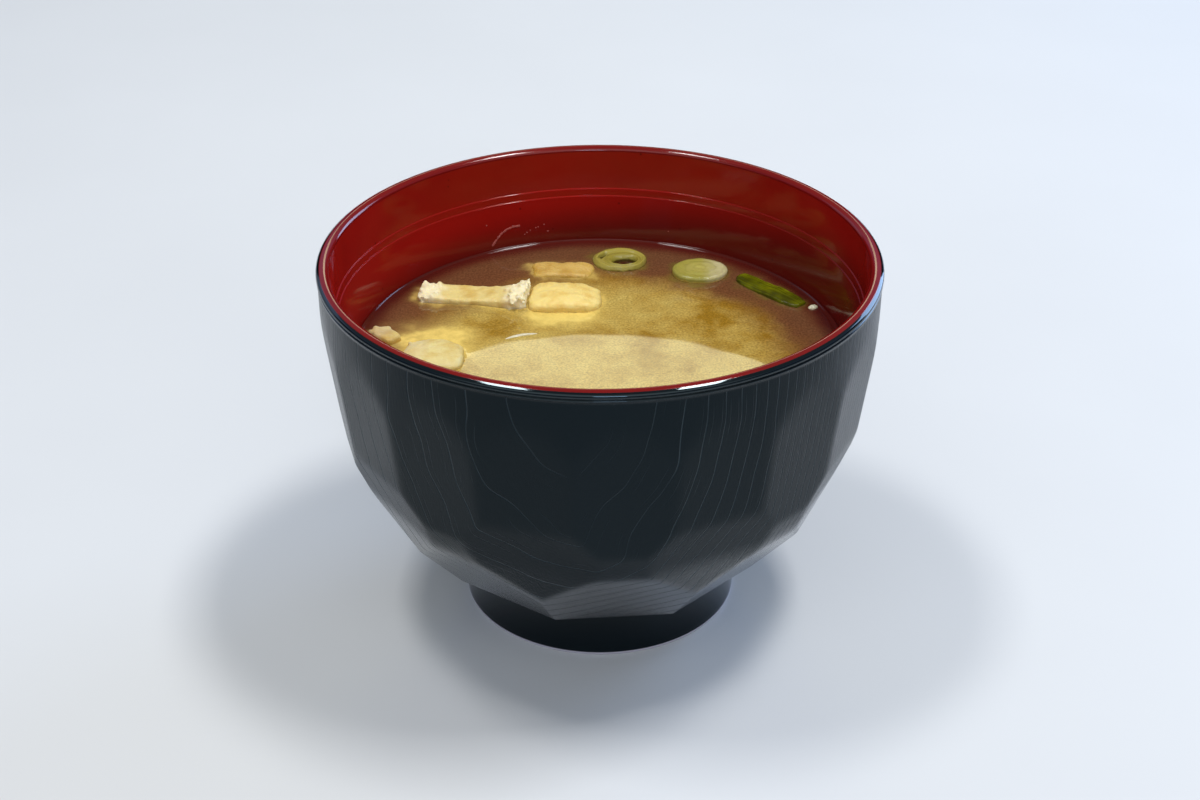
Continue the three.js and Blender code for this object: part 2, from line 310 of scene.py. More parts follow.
@dataclass(frozen=True)
class BlackLacquer(Finish):
    """Moulded resin with a wood grain, sprayed black.

    The grain is pressed in by the mould as a relief, and its grooves are painted paler: a painted sheen that stands
    for the light they catch, so they show as pale lines on dark facets. The relief gives dark lines where light
    grazes. The band under the lip and the foot are smooth.
    """

    name: str = "black_lacquered_resin"
    colour: str = "#070e12"
    # painted sheen: the grooves' paler colour stands for the light they catch
    groove_sheen_colour: str = "#303b40"
    worn_and_highlight_colour: str = "#cfc9d4"
    # painted reflection colour: the specular tint turns the reflections bluish, standing for bluish light around
    tint: str = "#d2f0fc"
    mirror: float = 1.28
    roughness: float = 0.27
    groove_roughness: float = 0.4
    smooth_roughness: float = 0.1
    trunk_axis: Place = (-15, -180)
    first_ring: float = 126
    rings_per_mm: float = 0.38
    finer_right: float = 0.003
    warps: tuple[tuple[Pattern, float], ...] = ((Pattern(0.016, 1), 3.4), (Pattern(0.07, 1), 0.6))
    groove_width: float = 0.14
    groove_depth: float = 0.09
    thinnest: float = 0.25
    thinned: Place = (0.15, 0.9)
    faded: Place = (0.18, 0.4)
    breaks: Pattern = Pattern(0.08)
    groove_sets: tuple[tuple[float, float, Span], ...] = (
        (1, 0, (0.62, 0.4, 0.4, 1.0)), (2, 0.42, (0.48, 0.66, 0.0, 0.4)))
    pores: Pattern = Pattern(1)
    pore_stretch: Spot = (3.4, 3.4, 0.4)
    pore_depth: float = 0.035
    grain_bottom: float = 12.1
    grain_top: float = 73.7
    grain_edge: float = 0.3
    # a pale band along the foot's bottom edge: rubbed wear, and a painted highlight where the edge catches light
    rubbed_and_highlight: Span = (0.8, 0.55, 0.0, 0.85)
    low_coat: Place = (36, 29)
    coat_slant: Place = (0.45, 0.64)
    coat_roughness: float = 0.27
    coat_mirror: float = 2.1

    def rings(self, tree: Tree, place: Socket, away: Socket) -> tuple[Socket, Socket]:
        """Number the growth rings: upright cylinders round the trunk's middle, finer to the right and warped.

        Args:
            tree: The material's tree.
            place: The coordinates in millimetres.
            away: The level vector from the trunk's middle.

        Returns:
            The rings' numbers, and how many rings one millimetre has.
        """
        across = add_node(tree, "SeparateXYZ", (place,), "X")
        density = add_node(tree, "Math", (across, self.finer_right, self.rings_per_mm), operation="MULTIPLY_ADD")
        radius = add_node(tree, "VectorMath", (away,), "Value", operation="LENGTH")
        ring_depth = add_node(tree, "Math", (radius, self.first_ring), operation="SUBTRACT")
        number = add_node(tree, "Math", (ring_depth, density), operation="MULTIPLY")
        for pattern, reach in self.warps:
            warp = add_node(tree, "TexNoise", pattern.at(place))
            number = add_node(tree, "Math", (warp, reach, number), operation="MULTIPLY_ADD")
        return number, density

    def relief(self, tree: Tree, place: Socket) -> Socket:
        """Give the grain's depth: grooves that thin out and fade where the wall runs along the rings.

        Args:
            tree: The material's tree.
            place: The coordinates in millimetres.

        Returns:
            The depth, from 0 to 1.
        """
        away = add_node(tree, "VectorMath", (place, (*self.trunk_axis, 0)), operation="SUBTRACT")
        away = add_node(tree, "VectorMath", (away, LEVEL_ONLY), operation="MULTIPLY")
        number, density = self.rings(tree, place, away)
        normal = add_node(tree, "NewGeometry", out="Normal")
        outwards = add_node(tree, "VectorMath", (away,), operation="NORMALIZE")
        crossing = add_node(tree, "VectorMath", (normal, outwards), operation="CROSS_PRODUCT")
        steepness = add_node(tree, "VectorMath", (crossing,), "Value", operation="LENGTH")
        width = add_node(tree, "MapRange", (steepness, *self.thinned, self.groove_width * self.thinnest,
                                            self.groove_width))
        width = add_node(tree, "Math", (width, density), operation="MULTIPLY")
        breaks = add_node(tree, "TexNoise", self.breaks.at(place))
        grooves = 0.0
        for times, shift, strengths in self.groove_sets:
            turns = add_node(tree, "Math", (number, times, shift), operation="MULTIPLY_ADD")
            saw = add_node(tree, "Math", (turns, 0.5), operation="PINGPONG")
            lines = add_node(tree, "MapRange", (saw, width, 0.0), interpolation_type="SMOOTHSTEP")
            strength = add_node(tree, "MapRange", (breaks, *strengths))
            grooves = add_node(tree, "Math", (lines, strength, grooves), operation="MULTIPLY_ADD", use_clamp=True)
        shown = add_node(tree, "MapRange", (steepness, *self.faded))
        return add_node(tree, "Math", (grooves, shown), operation="MULTIPLY")

    def sockets(self, tree: Tree, place: Socket) -> dict[str, object]:
        """Build the finish's nodes.

        Args:
            tree: The material's tree.
            place: The piece's own coordinates, in millimetres.

        Returns:
            What the shader's sockets take.
        """
        height = add_node(tree, "SeparateXYZ", (place,), "Z")
        above = add_node(tree, "MapRange", (height, self.grain_bottom - self.grain_edge, self.grain_bottom))
        moulded = add_node(tree, "MapRange", (height, self.grain_top, self.grain_top - self.grain_edge, 0.0, above))
        grain = add_node(tree, "Math", (self.relief(tree, place), moulded), operation="MULTIPLY")
        pore_place = add_node(tree, "VectorMath", (place, self.pore_stretch), operation="MULTIPLY")
        pores = add_node(tree, "TexNoise", self.pores.at(pore_place))
        pore_relief = add_node(tree, "Math", (pores, moulded), operation="MULTIPLY")
        bump = add_node(tree, "Bump", {"Distance": self.pore_depth * MM, "Height": pore_relief})
        bump = add_node(tree, "Bump", {"Distance": self.groove_depth * MM, "Height": grain, "Normal": bump},
                        invert=True)
        # pale band on the foot's bottom edge: rubbed wear together with a painted highlight
        rubbed_and_highlight = add_node(tree, "MapRange", (height, *self.rubbed_and_highlight))
        colour = self.colour
        # the grooves take the paler colour as painted sheen
        for share, shown in ((grain, self.groove_sheen_colour), (rubbed_and_highlight, self.worn_and_highlight_colour)):
            colour = add_node(tree, "Mix", {0: share, MIX_A: colour, MIX_B: shown}, MIX_COLOUR, data_type="RGBA")
        satin = add_node(tree, "MapRange", (grain, 0.0, 1.0, self.roughness, self.groove_roughness))
        gloss = add_node(tree, "MapRange", (moulded, 0.0, 1.0, self.smooth_roughness, satin))
        slant = add_node(tree, "LayerWeight", {"Blend": 0.5, "Normal": bump}, "Facing")
        low = add_node(tree, "MapRange", (height, *self.low_coat, 0.0, above), interpolation_type="SMOOTHSTEP")
        thick = add_node(tree, "MapRange", (slant, *self.coat_slant, 0.0, low), interpolation_type="SMOOTHSTEP")
        return {"Base Color": colour, "Roughness": gloss, "IOR": self.mirror, "Specular Tint": self.tint,
                "Normal": bump, "Coat Weight": thick, "Coat Roughness": self.coat_roughness,
                "Coat IOR": self.coat_mirror, "Coat Normal": bump}


@dataclass(frozen=True)
class GlossyBlack(Finish):
    """The smooth band under the lip: thick black lacquer without grain, so lamps show in it as crisp streaks."""

    name: str = "glossy_black_lacquer"
    colour: str = "#070e12"
    # painted reflection colour: the specular tint turns the reflections bluish, standing for bluish light around
    tint: str = "#daf3fb"
    flow: Pattern = Pattern(0.3)
    gloss: Span = (0.3, 0.7, 0.03, 0.08)
    mirror: float = 1.5

    def sockets(self, tree: Tree, place: Socket) -> dict[str, object]:
        """Build the finish's nodes.

        Args:
            tree: The material's tree.
            place: The piece's own coordinates, in millimetres.

        Returns:
            What the shader's sockets take.
        """
        flow = add_node(tree, "TexNoise", self.flow.at(place))
        gloss = add_node(tree, "MapRange", (flow, *self.gloss))
        return {"Base Color": self.colour, "Roughness": gloss, "IOR": self.mirror, "Specular Tint": self.tint}


@dataclass(frozen=True)
class RedLacquer(Finish):
    """Smooth red urethane lacquer: a deep, glossy coat with a few dark specks and faint wiping marks.

    Low on the wall it is painted darker, as painted shade, and more so to the right.
    """

    name: str = "red_urethane_lacquer"
    colour: str = "#991710"
    deep_colour: str = "#85120c"
    low_shade_colour: str = "#5a120d"
    speck_colour: str = "#330705"
    roughness: float = 0.07
    mirror: float = 1.26
    clouds: Pattern = Pattern(0.06, 3)
    low_shade_heights: Place = (67, 56)
    low_shade_wander: float = 4
    shadier_right: float = -0.11
    speck_spacing: float = 4.5
    specks: Span = (0.07, 0.03, 0.0, 0.6)
    wiping: Pattern = Pattern(1, 3)
    wiping_stretch: Spot = (0.12, 0.12, 1.6)
    wiping_range: Span = (0.3, 0.7, 0.7, 1.4)

    def sockets(self, tree: Tree, place: Socket) -> dict[str, object]:
        """Build the finish's nodes.

        Args:
            tree: The material's tree.
            place: The piece's own coordinates, in millimetres.

        Returns:
            What the shader's sockets take.
        """
        clouds = add_node(tree, "TexNoise", self.clouds.at(place))
        # painted shade: the wall turns darker low down and towards the right
        height = add_node(tree, "VectorMath", (place, (self.shadier_right, 0, 1)), "Value", operation="DOT_PRODUCT")
        raised = add_node(tree, "Math", (clouds, self.low_shade_wander, height), operation="MULTIPLY_ADD")
        limits = [limit + self.low_shade_wander / 2 for limit in self.low_shade_heights]
        wet = add_node(tree, "MapRange", (raised, *limits), interpolation_type="SMOOTHSTEP")
        cells = add_node(tree, "TexVoronoi", {"Vector": place, "Scale": 1 / self.speck_spacing})
        specks = add_node(tree, "MapRange", (cells, *self.specks))
        colour = self.colour
        for share, shown in ((clouds, self.deep_colour), (wet, self.low_shade_colour), (specks, self.speck_colour)):
            colour = add_node(tree, "Mix", {0: share, MIX_A: colour, MIX_B: shown}, MIX_COLOUR, data_type="RGBA")
        wiping_place = add_node(tree, "VectorMath", (place, self.wiping_stretch), operation="MULTIPLY")
        wiping = add_node(tree, "TexNoise", self.wiping.at(wiping_place))
        start, end, least, most = self.wiping_range
        gloss = add_node(tree, "MapRange", (wiping, start, end, self.roughness * least, self.roughness * most))
        return {"Base Color": colour, "Roughness": gloss, "IOR": self.mirror}


@dataclass(frozen=True)
class CloudyBroth(Finish):
    """Miso stirred into clear stock: fine grains in slow clouds under a flat, wet surface.

    The miso has settled towards the middle, so the soup clears towards the wall and shows the dark red lacquer
    through it. The piece's own attributes tell where tofu or onion lies just below the surface, and where soup
    stands in the onion ring's hole, which is darkened there as painted shade.
    """

    name: str = "miso_broth"
    cloud_stops: tuple[tuple[float, str], ...] = ((0.34, "#8e6c1f"), (0.5, "#ab8f45"), (0.7, "#b9a257"))
    drift: Pattern = Pattern(0.09)
    drift_reach: Spot = (9, 9, 0)
    cloud: Pattern = Pattern(0.08, 5, 0.62)
    grains: Pattern = Pattern(1.5)
    grain_light: Span = (0.32, 0.68, 0.93, 1.09)
    cloud_centre: Place = (-0.5, -7)
    coast: Pattern = Pattern(0.08, 5, 0.6)
    cloud_wander: float = 14
    clearings: tuple[tuple[Place, str], ...] = (((30.5, 42.5), "#6a4426"), ((36.5, 46.5), "#644028"))
    haze: Pattern = Pattern(2.2, 3, 0.7)
    haze_light: Span = (0.35, 0.65, 0.72, 1.28)
    wall_colour: str = "#4c1610"
    wall_reach: Place = (43, 48)
    wall_wander: float = 4
    patches: Pattern = Pattern(0.38, 5, 0.65)
    patch_range: Place = (0.36, 0.6)
    # the hollow entry darkens the soup in the onion ring's hole: painted shade
    sunk: tuple[tuple[str, str, float], ...] = (
        ("sunk_tofu", "#e8cb6e", 0.68), ("sunk_onion", "#6d6a24", 0.7), ("hollow", "#3c1d0e", 1.0))
    roughness: float = 0.04
    mirror: float = 1.34
    lean: float = 0.045

    def clouds(self, tree: Tree, place: Socket) -> Socket:
        """Give the colour of the miso's clouds and grains.

        Args:
            tree: The material's tree.
            place: The coordinates in millimetres.

        Returns:
            The colour.
        """
        drift = add_node(tree, "TexNoise", self.drift.at(place), "Color")
        shift = add_node(tree, "VectorMath", (drift, (-0.5, -0.5, -0.5)), operation="ADD")
        warped = add_node(tree, "VectorMath", (shift, self.drift_reach, place), operation="MULTIPLY_ADD")
        clouds = add_node(tree, "TexNoise", self.cloud.at(warped))
        colour = add_node(tree, "ValToRGB", (clouds,), stops=dict(self.cloud_stops))
        grains = add_node(tree, "TexNoise", self.grains.at(place))
        light = add_node(tree, "MapRange", (grains, *self.grain_light))
        return add_node(tree, "VectorMath", {0: colour, 3: light}, operation="SCALE")

    def outside(self, tree: Tree, place: Socket, centre: Place, wander: float, limits: Place) -> Socket:
        """Rise from 0 to 1 from one uneven circle to a larger one.

        Args:
            tree: The material's tree.
            place: The coordinates in millimetres.
            centre: The circles' centre.
            wander: How far they wander in and out.
            limits: Their mean radii.

        Returns:
            The share, from 0 to 1.
        """
        centred = add_node(tree, "VectorMath", (place, (*centre, 0)), operation="SUBTRACT")
        level = add_node(tree, "VectorMath", (centred, LEVEL_ONLY), operation="MULTIPLY")
        radius = add_node(tree, "VectorMath", (level,), "Value", operation="LENGTH")
        uneven = add_node(tree, "TexNoise", self.coast.at(place))
        reach = add_node(tree, "Math", (uneven, wander, radius), operation="MULTIPLY_ADD")
        shifted = [limit + wander / 2 for limit in limits]
        return add_node(tree, "MapRange", (reach, *shifted), interpolation_type="SMOOTHSTEP")

    def sockets(self, tree: Tree, place: Socket) -> dict[str, object]:
        """Build the finish's nodes.

        Args:
            tree: The material's tree.
            place: The piece's own coordinates, in millimetres.

        Returns:
            What the shader's sockets take.
        """
        colour = self.clouds(tree, place)
        for limits, shown in self.clearings:
            share = self.outside(tree, place, self.cloud_centre, self.cloud_wander, limits)
            colour = add_node(tree, "Mix", {0: share, MIX_A: colour, MIX_B: shown}, MIX_COLOUR, data_type="RGBA")
        haze = add_node(tree, "TexNoise", self.haze.at(place))
        speckled = add_node(tree, "MapRange", (haze, *self.haze_light))
        colour = add_node(tree, "VectorMath", {0: colour, 3: speckled}, operation="SCALE")
        layers = [(self.outside(tree, place, (0, 0), self.wall_wander, self.wall_reach), self.wall_colour)]
        patches = add_node(tree, "TexNoise", self.patches.at(place))
        for attribute, shown, least in self.sunk:
            clear = add_node(tree, "MapRange", (patches, *self.patch_range, least))
            share = add_node(tree, "Attribute", out="Fac", attribute_name=attribute)
            layers.append((add_node(tree, "Math", (share, clear), operation="MULTIPLY"), shown))
        for share, shown in layers:
            colour = add_node(tree, "Mix", {0: share, MIX_A: colour, MIX_B: shown}, MIX_COLOUR, data_type="RGBA")
        normal = add_node(tree, "NewGeometry", out="Normal")
        leaning = add_node(tree, "VectorMath", (normal, (0, self.lean, 0)), operation="ADD")
        unit = add_node(tree, "VectorMath", (leaning,), operation="NORMALIZE")
        return {"Base Color": colour, "Roughness": self.roughness, "IOR": self.mirror, "Normal": unit}


@dataclass(frozen=True)
class SoakedFood(Finish):
    """Food that lies in the soup: its own colour above, and a thin coat of broth where it dips in."""

    level: float = 55.4
    broth_colour: str = "#c09a40"
    film_height: float = 0.75
    film_share: float = 0.85
    film: Pattern = Pattern(0.7)
    film_wander: float = 0.7
    softness: float = 0.3
    soft_radius: Spot = (1.0, 0.8, 0.4)
    soft_depth: float = 1.5

    def coat(self, tree: Tree, place: Socket, colour: Socket) -> Socket:
        """Mix a colour with the broth's near the soup's level.

        Args:
            tree: The material's tree.
            place: The coordinates in millimetres.
            colour: The food's own colour.

        Returns:
            The coated colour.
        """
        height = add_node(tree, "SeparateXYZ", (place,), "Z")
        uneven = add_node(tree, "TexNoise", self.film.at(place))
        raised = add_node(tree, "Math", (uneven, -self.film_wander, height), operation="MULTIPLY_ADD")
        top = self.level + self.film_height - self.film_wander / 2
        film = add_node(tree, "MapRange", (raised, top, self.level - self.film_wander / 2, 0.0, self.film_share),
                        interpolation_type="SMOOTHSTEP")
        return add_node(tree, "Mix", {0: film, MIX_A: colour, MIX_B: self.broth_colour}, MIX_COLOUR,
                        data_type="RGBA")

    def soft(self) -> dict[str, object]:
        """Give the sockets that let a little light into the food."""
        return {"Subsurface Weight": self.softness, "Subsurface Radius": self.soft_radius,
                "Subsurface Scale": self.soft_depth * MM}


@dataclass(frozen=True)
class FriedTofuSkin(SoakedFood):
    """Tofu fried in thin sheets and cut: a pale golden, wrinkled skin round a white crumb.

    The crumb shows at the cut ends, where the piece's own crumb attribute is 1. Soup soaks it, so it is moist.
    """

    name: str = "fried_tofu"
    skin_colour: str = "#ecd07c"
    gold_colour: str = "#dcb55a"
    crumb_colour: str = "#efe3bd"
    blotches: Pattern = Pattern(0.26, 4)
    blotch_range: Place = (0.34, 0.54)
    roughness: float = 0.4
    mirror: float = 1.4
    pits: Pattern = Pattern(1.5, 3, 0.6)
    pit_depth: float = 0.16

    def sockets(self, tree: Tree, place: Socket) -> dict[str, object]:
        """Build the finish's nodes.

        Args:
            tree: The material's tree.
            place: The piece's own coordinates, in millimetres.

        Returns:
            What the shader's sockets take.
        """
        blotches = add_node(tree, "TexNoise", self.blotches.at(place))
        stops = dict(zip(self.blotch_range, (self.gold_colour, self.skin_colour)))
        skin = add_node(tree, "ValToRGB", (blotches,), stops=stops)
        crumb = add_node(tree, "Attribute", out="Fac", attribute_name="crumb")
        colour = add_node(tree, "Mix", {0: crumb, MIX_A: skin, MIX_B: self.crumb_colour}, MIX_COLOUR,
                          data_type="RGBA")
        pits = add_node(tree, "TexNoise", self.pits.at(place))
        bump = add_node(tree, "Bump", {"Distance": self.pit_depth * MM, "Height": pits})
        return {"Base Color": self.coat(tree, place, colour), "Roughness": self.roughness, "IOR": self.mirror,
                "Normal": bump, **self.soft()}


@dataclass(frozen=True)
class OnionFlesh(SoakedFood):
    """A raw slice of spring onion: juicy, slightly see-through flesh in thin layers, wet on top.

    The piece's own layer attribute runs from its middle, 0, to its outer skin, 1. One side may be paler.
    """

    name: str = "spring_onion"
    inner_colour: str = "#aca254"
    outer_colour: str = "#989040"
    layer_range: Place = (0.2, 0.9)
    uneven: Pattern = Pattern(0.5, 3)
    layer_wander: float = 0.25
    pale_colour: str = "#b8ae80"
    pale_sides: Place = (90, 100)
    pale_wander: float = 4
    layers: float = 4.0
    layer_lines: Span = (0.0, 0.2, 0.88, 1.0)
    fibres: Pattern = Pattern(2.4)
    fibre_depth: float = 0.12
    roughness: float = 0.22
    mirror: float = 1.38
    softness: float = 0.2
    soft_radius: Spot = (0.8, 1.0, 0.4)
    soft_depth: float = 1.2

    def sockets(self, tree: Tree, place: Socket) -> dict[str, object]:
        """Build the finish's nodes.

        Args:
            tree: The material's tree.
            place: The piece's own coordinates, in millimetres.

        Returns:
            What the shader's sockets take.
        """
        layer = add_node(tree, "Attribute", out="Fac", attribute_name="layer")
        uneven = add_node(tree, "TexNoise", self.uneven.at(place))
        shifted = add_node(tree, "Math", (uneven, self.layer_wander, layer), operation="MULTIPLY_ADD")
        stops = dict(zip(self.layer_range, (self.inner_colour, self.outer_colour)))
        colour = add_node(tree, "ValToRGB", (shifted,), stops=stops)
        across = add_node(tree, "SeparateXYZ", (place,), "X")
        drifting = add_node(tree, "Math", (uneven, self.pale_wander, across), operation="MULTIPLY_ADD")
        limits = [side + self.pale_wander / 2 for side in self.pale_sides]
        pale = add_node(tree, "MapRange", (drifting, *limits), interpolation_type="SMOOTHSTEP")
        colour = add_node(tree, "Mix", {0: pale, MIX_A: colour, MIX_B: self.pale_colour}, MIX_COLOUR,
                          data_type="RGBA")
        count = add_node(tree, "Math", (shifted, self.layers), operation="MULTIPLY")
        waves = add_node(tree, "Math", (count, 0.5), operation="PINGPONG")
        lines = add_node(tree, "MapRange", (waves, *self.layer_lines))
        colour = add_node(tree, "VectorMath", {0: colour, 3: lines}, operation="SCALE")
        fibres = add_node(tree, "TexNoise", self.fibres.at(place))
        bump = add_node(tree, "Bump", {"Distance": self.fibre_depth * MM, "Height": fibres})
        return {"Base Color": self.coat(tree, place, colour), "Roughness": self.roughness, "IOR": self.mirror,
                "Normal": bump, **self.soft()}


@dataclass(frozen=True)
class LeafSkin(SoakedFood):
    """The green leaf of a spring onion: a waxy skin with fine veins along it, wet from the soup."""

    name: str = "spring_onion_leaf"
    leaf_stops: tuple[tuple[float, str], ...] = ((0.6, "#3c3c04"), (0.8, "#585a04"), (1.0, "#74760c"))
    turn: float = 0.0
    veins: Pattern = Pattern(1, 3)
    vein_stretch: Spot = (0.14, 2.6, 1.0)
    vein_depth: float = 0.12
    vein_share: float = 0.6
    patches: Pattern = Pattern(0.22)
    roughness: float = 0.25
    mirror: float = 1.25

    def sockets(self, tree: Tree, place: Socket) -> dict[str, object]:
        """Build the finish's nodes.

        Args:
            tree: The material's tree.
            place: The piece's own coordinates, in millimetres.

        Returns:
            What the shader's sockets take.
        """
        along = add_node(tree, "Mapping", {"Vector": place, "Rotation": (0, 0, -math.radians(self.turn))})
        stretched = add_node(tree, "VectorMath", (along, self.vein_stretch), operation="MULTIPLY")
        veins = add_node(tree, "TexNoise", self.veins.at(stretched))
        patches = add_node(tree, "TexNoise", self.patches.at(place))
        mixed = add_node(tree, "Math", (veins, self.vein_share, patches), operation="MULTIPLY_ADD")
        colour = add_node(tree, "ValToRGB", (mixed,), stops=dict(self.leaf_stops))
        bump = add_node(tree, "Bump", {"Distance": self.vein_depth * MM, "Height": veins})
        return {"Base Color": self.coat(tree, place, colour), "Roughness": self.roughness, "IOR": self.mirror,
                "Normal": bump}


@dataclass(frozen=True)
class ThinBroth(Finish):
    """A trace of broth that dried on the lacquer: a pale, glossy pink film, as the red shows through it."""

    name: str = "dried_broth_trace"
    colour: str = "#9c4a42"
    patches: Pattern = Pattern(1.5)
    gloss: Span = (0.0, 1.0, 0.18, 0.36)
    mirror: float = 1.4

    def sockets(self, tree: Tree, place: Socket) -> dict[str, object]:
        """Build the finish's nodes.

        Args:
            tree: The material's tree.
            place: The piece's own coordinates, in millimetres.

        Returns:
            What the shader's sockets take.
        """
        patches = add_node(tree, "TexNoise", self.patches.at(place))
        gloss = add_node(tree, "MapRange", (patches, *self.gloss))
        return {"Base Color": self.colour, "Roughness": gloss, "IOR": self.mirror}


@dataclass(frozen=True)
class TableTop(Finish):
    """A pale, matte table top, faintly mottled."""

    name: str = "matte_table_top"
    colour: str = "#d4d5d5"
    mottle: Pattern = Pattern(0.01, 3)
    mottle_range: Place = (0.96, 1.04)
    roughness: float = 0.6

    def sockets(self, tree: Tree, place: Socket) -> dict[str, object]:
        """Build the finish's nodes.

        Args:
            tree: The material's tree.
            place: The piece's own coordinates, in millimetres.

        Returns:
            What the shader's sockets take.
        """
        mottle = add_node(tree, "TexNoise", self.mottle.at(place))
        shade = add_node(tree, "MapRange", (mottle, 0.0, 1.0, *self.mottle_range))
        colour = add_node(tree, "VectorMath", {0: self.colour, 3: shade}, operation="SCALE")
        return {"Base Color": colour, "Roughness": self.roughness}


# ---------------------------------------------------------------- bowl


@dataclass(frozen=True)
class Facet:
    """A flat facet of the wall, by a point on its middle line and how fast it leans outwards."""

    apothem: float
    height: float
    lean: float

    def reach(self, height: float) -> float:
        """Give the facet's distance from the axis at a height."""
        return self.apothem + self.lean * (height - self.height)


@dataclass
class Bowl:
    """The bowl: one turned resin body with eighteen columns of facets, black outside and red inside."""

    rim_radius: float
    height: float
    lip_width: float = 2.6
    lip_round: float = 0.9
    lip_edge: float = 0.8
    lip_fall: float = 6
    lip_flat: float = 0.3
    paint_edge_angle: float = 59
    ridge_height: float = 74.1
    ridge_size: float = 0.15
    ridge_flat: float = 0.12
    wall_radius: float = 54.65
    foot_radius: float = 27.9
    foot_top_radius: float = 28.4
    foot_ring_width: float = 3.4
    foot_edge: float = 0.5
    foot_swell: Place = (0.06, 2.0)
    foot_neck: float = 0.3
    foot_recess: float = 7
    recess_bend: float = 0.12
    body_bottom: float = 11.85
    body_undercut: float = 1.6
    body_edge: float = 0.4
    body_edge_rows: int = 5
    ledge_top: Place = (51.72, 66.66)
    ledge_step: Place = (51.3, 65.1)
    ledge_foot: Place = (51.06, 64.93)
    bevel_width: float = 0.25
    bevel_angle: float = 122
    upper_rows: int = 12
    hollow_side: Place = (45, 42.6)
    hollow_corner: Place = (47, 11)
    floor_height: float = 11
    shown_hollow: float = 0.2
    hollow_rows: tuple[int, int] = (8, 16)
    columns: int = 9
    first_azimuth: float = 5
    softness: float = 0.15
    turn_steps: int = 432
    doublings: int = 4
    wall_rows: int = 98
    low_column: tuple[Facet, ...] = (
        Facet(31.5, 11.85, 0.8212), Facet(47.8, 31.7, 0.4478), Facet(50.8, 38.4, 0.13))
    kite_column: tuple[Facet, ...] = (Facet(38.9, 11.85, 0.3935), Facet(51.55, 44, 0.13))

    def hollow_point(self, share: float) -> Place:
        """Give a point of the hollow's section, a Bézier curve.

        Args:
            share: The share of the way from the ledge, 0, to the middle of the floor, 1.

        Returns:
            Its radius and height.
        """
        left = 1 - share
        weights = (left ** 3, 3 * left ** 2 * share, 3 * left * share ** 2, share ** 3)
        points = (self.ledge_foot, self.hollow_side, self.hollow_corner, (0, self.floor_height))
        return sum(w * p[0] for w, p in zip(weights, points)), sum(w * p[1] for w, p in zip(weights, points))

    def hollow_radius(self, height: float, steps: int) -> float:
        """Give the hollow's radius at a height, to the nearest of a number of steps along its section."""
        shares = (i / steps for i in range(steps // 2))
        return self.hollow_point(min(shares, key=lambda share: abs(self.hollow_point(share)[1] - height)))[0]

    def facet_radius(self, azimuth: float, height: float) -> float:
        """Give the wall's radius: the smallest reach of the round blank and all facets, softly blended.

        Args:
            azimuth: The direction, in degrees.
            height: The height, in millimetres.

        Returns:
            The radius, in millimetres.
        """
        pitch = 360 / self.columns
        local = (azimuth - self.first_azimuth + pitch / 2) % pitch - pitch / 2
        reaches = [self.wall_radius]
        for centre, facets in ((0, self.low_column), (-pitch / 2, self.kite_column), (pitch / 2, self.kite_column)):
            side = math.cos(math.radians(local - centre))
            reaches += [facet.reach(height) / side for facet in facets]
        least = min(reaches)
        return least - self.softness * math.log(sum(math.exp((least - r) / self.softness) for r in reaches))

    def outer_line(self) -> list[Place]:
        """Draw the grained outside's section.

        Returns:
            Its points, from the middle of the foot's recess to the ridge under the lip.
        """
        inside = self.foot_radius - self.foot_ring_width
        recess = ease_corners([
            (0, self.foot_recess), (inside - self.body_undercut, self.foot_recess),
            (inside, self.foot_recess - self.body_undercut), (inside, self.foot_edge),
            (inside + self.foot_edge, 0), (self.foot_radius - 2 * self.foot_edge, 0),
        ], self.recess_bend)
        foot = [
            *round_corner((self.foot_radius - self.foot_edge, self.foot_edge), self.foot_edge, -90, 0, 6),
            (self.foot_radius + self.foot_swell[0], self.foot_swell[1]),
            (self.foot_top_radius, self.body_bottom - self.body_undercut - self.foot_neck),
            (self.foot_top_radius + self.body_undercut, self.body_bottom),
        ]
        edge_shares = [i / self.body_edge_rows for i in range(self.body_edge_rows)]
        edge_rows = [(self.wall_radius, self.body_bottom + self.body_edge * share ** 2) for share in edge_shares]
        low, high = self.body_bottom + self.body_edge, self.ridge_height - self.ridge_size
        wall = [(self.wall_radius, low + (high - low) * i / self.wall_rows) for i in range(self.wall_rows + 1)]
        return recess + foot + edge_rows + wall + self.band_line()[:1]

    def outer_corner(self) -> Place:
        """Give the centre of the lip's outer corner below its flat; the corner lies lower than the inner one.

        Returns:
            Its radius and height.
        """
        slope = math.tan(math.radians(self.lip_fall))
        fall = (self.lip_width - self.lip_round - self.lip_edge) * slope
        flat_rise = self.lip_flat * math.cos(math.radians(self.paint_edge_angle))
        return self.rim_radius - self.lip_edge, self.height - self.lip_edge - fall - flat_rise

    def band_line(self) -> list[Place]:
        """Draw the glossy band's section: the ridge, then the lip's outer corner.

        Returns:
            Its points, up to the paint edge.
        """
        bead, edge = self.ridge_size * 1.4, self.paint_edge_angle
        middle, corner = (self.wall_radius - 0.03, self.ridge_height + 0.03), self.outer_corner()
        return [
            *round_corner(middle, bead, -60, edge, 8),
            *round_corner(past_flat(middle, edge, self.ridge_flat), bead, edge, 75, 2),
            (self.wall_radius + 0.02, self.ridge_height + bead * 2),
            *round_corner(corner, self.lip_edge, 0, edge, 14),
            self.lip_top()[0],
        ]

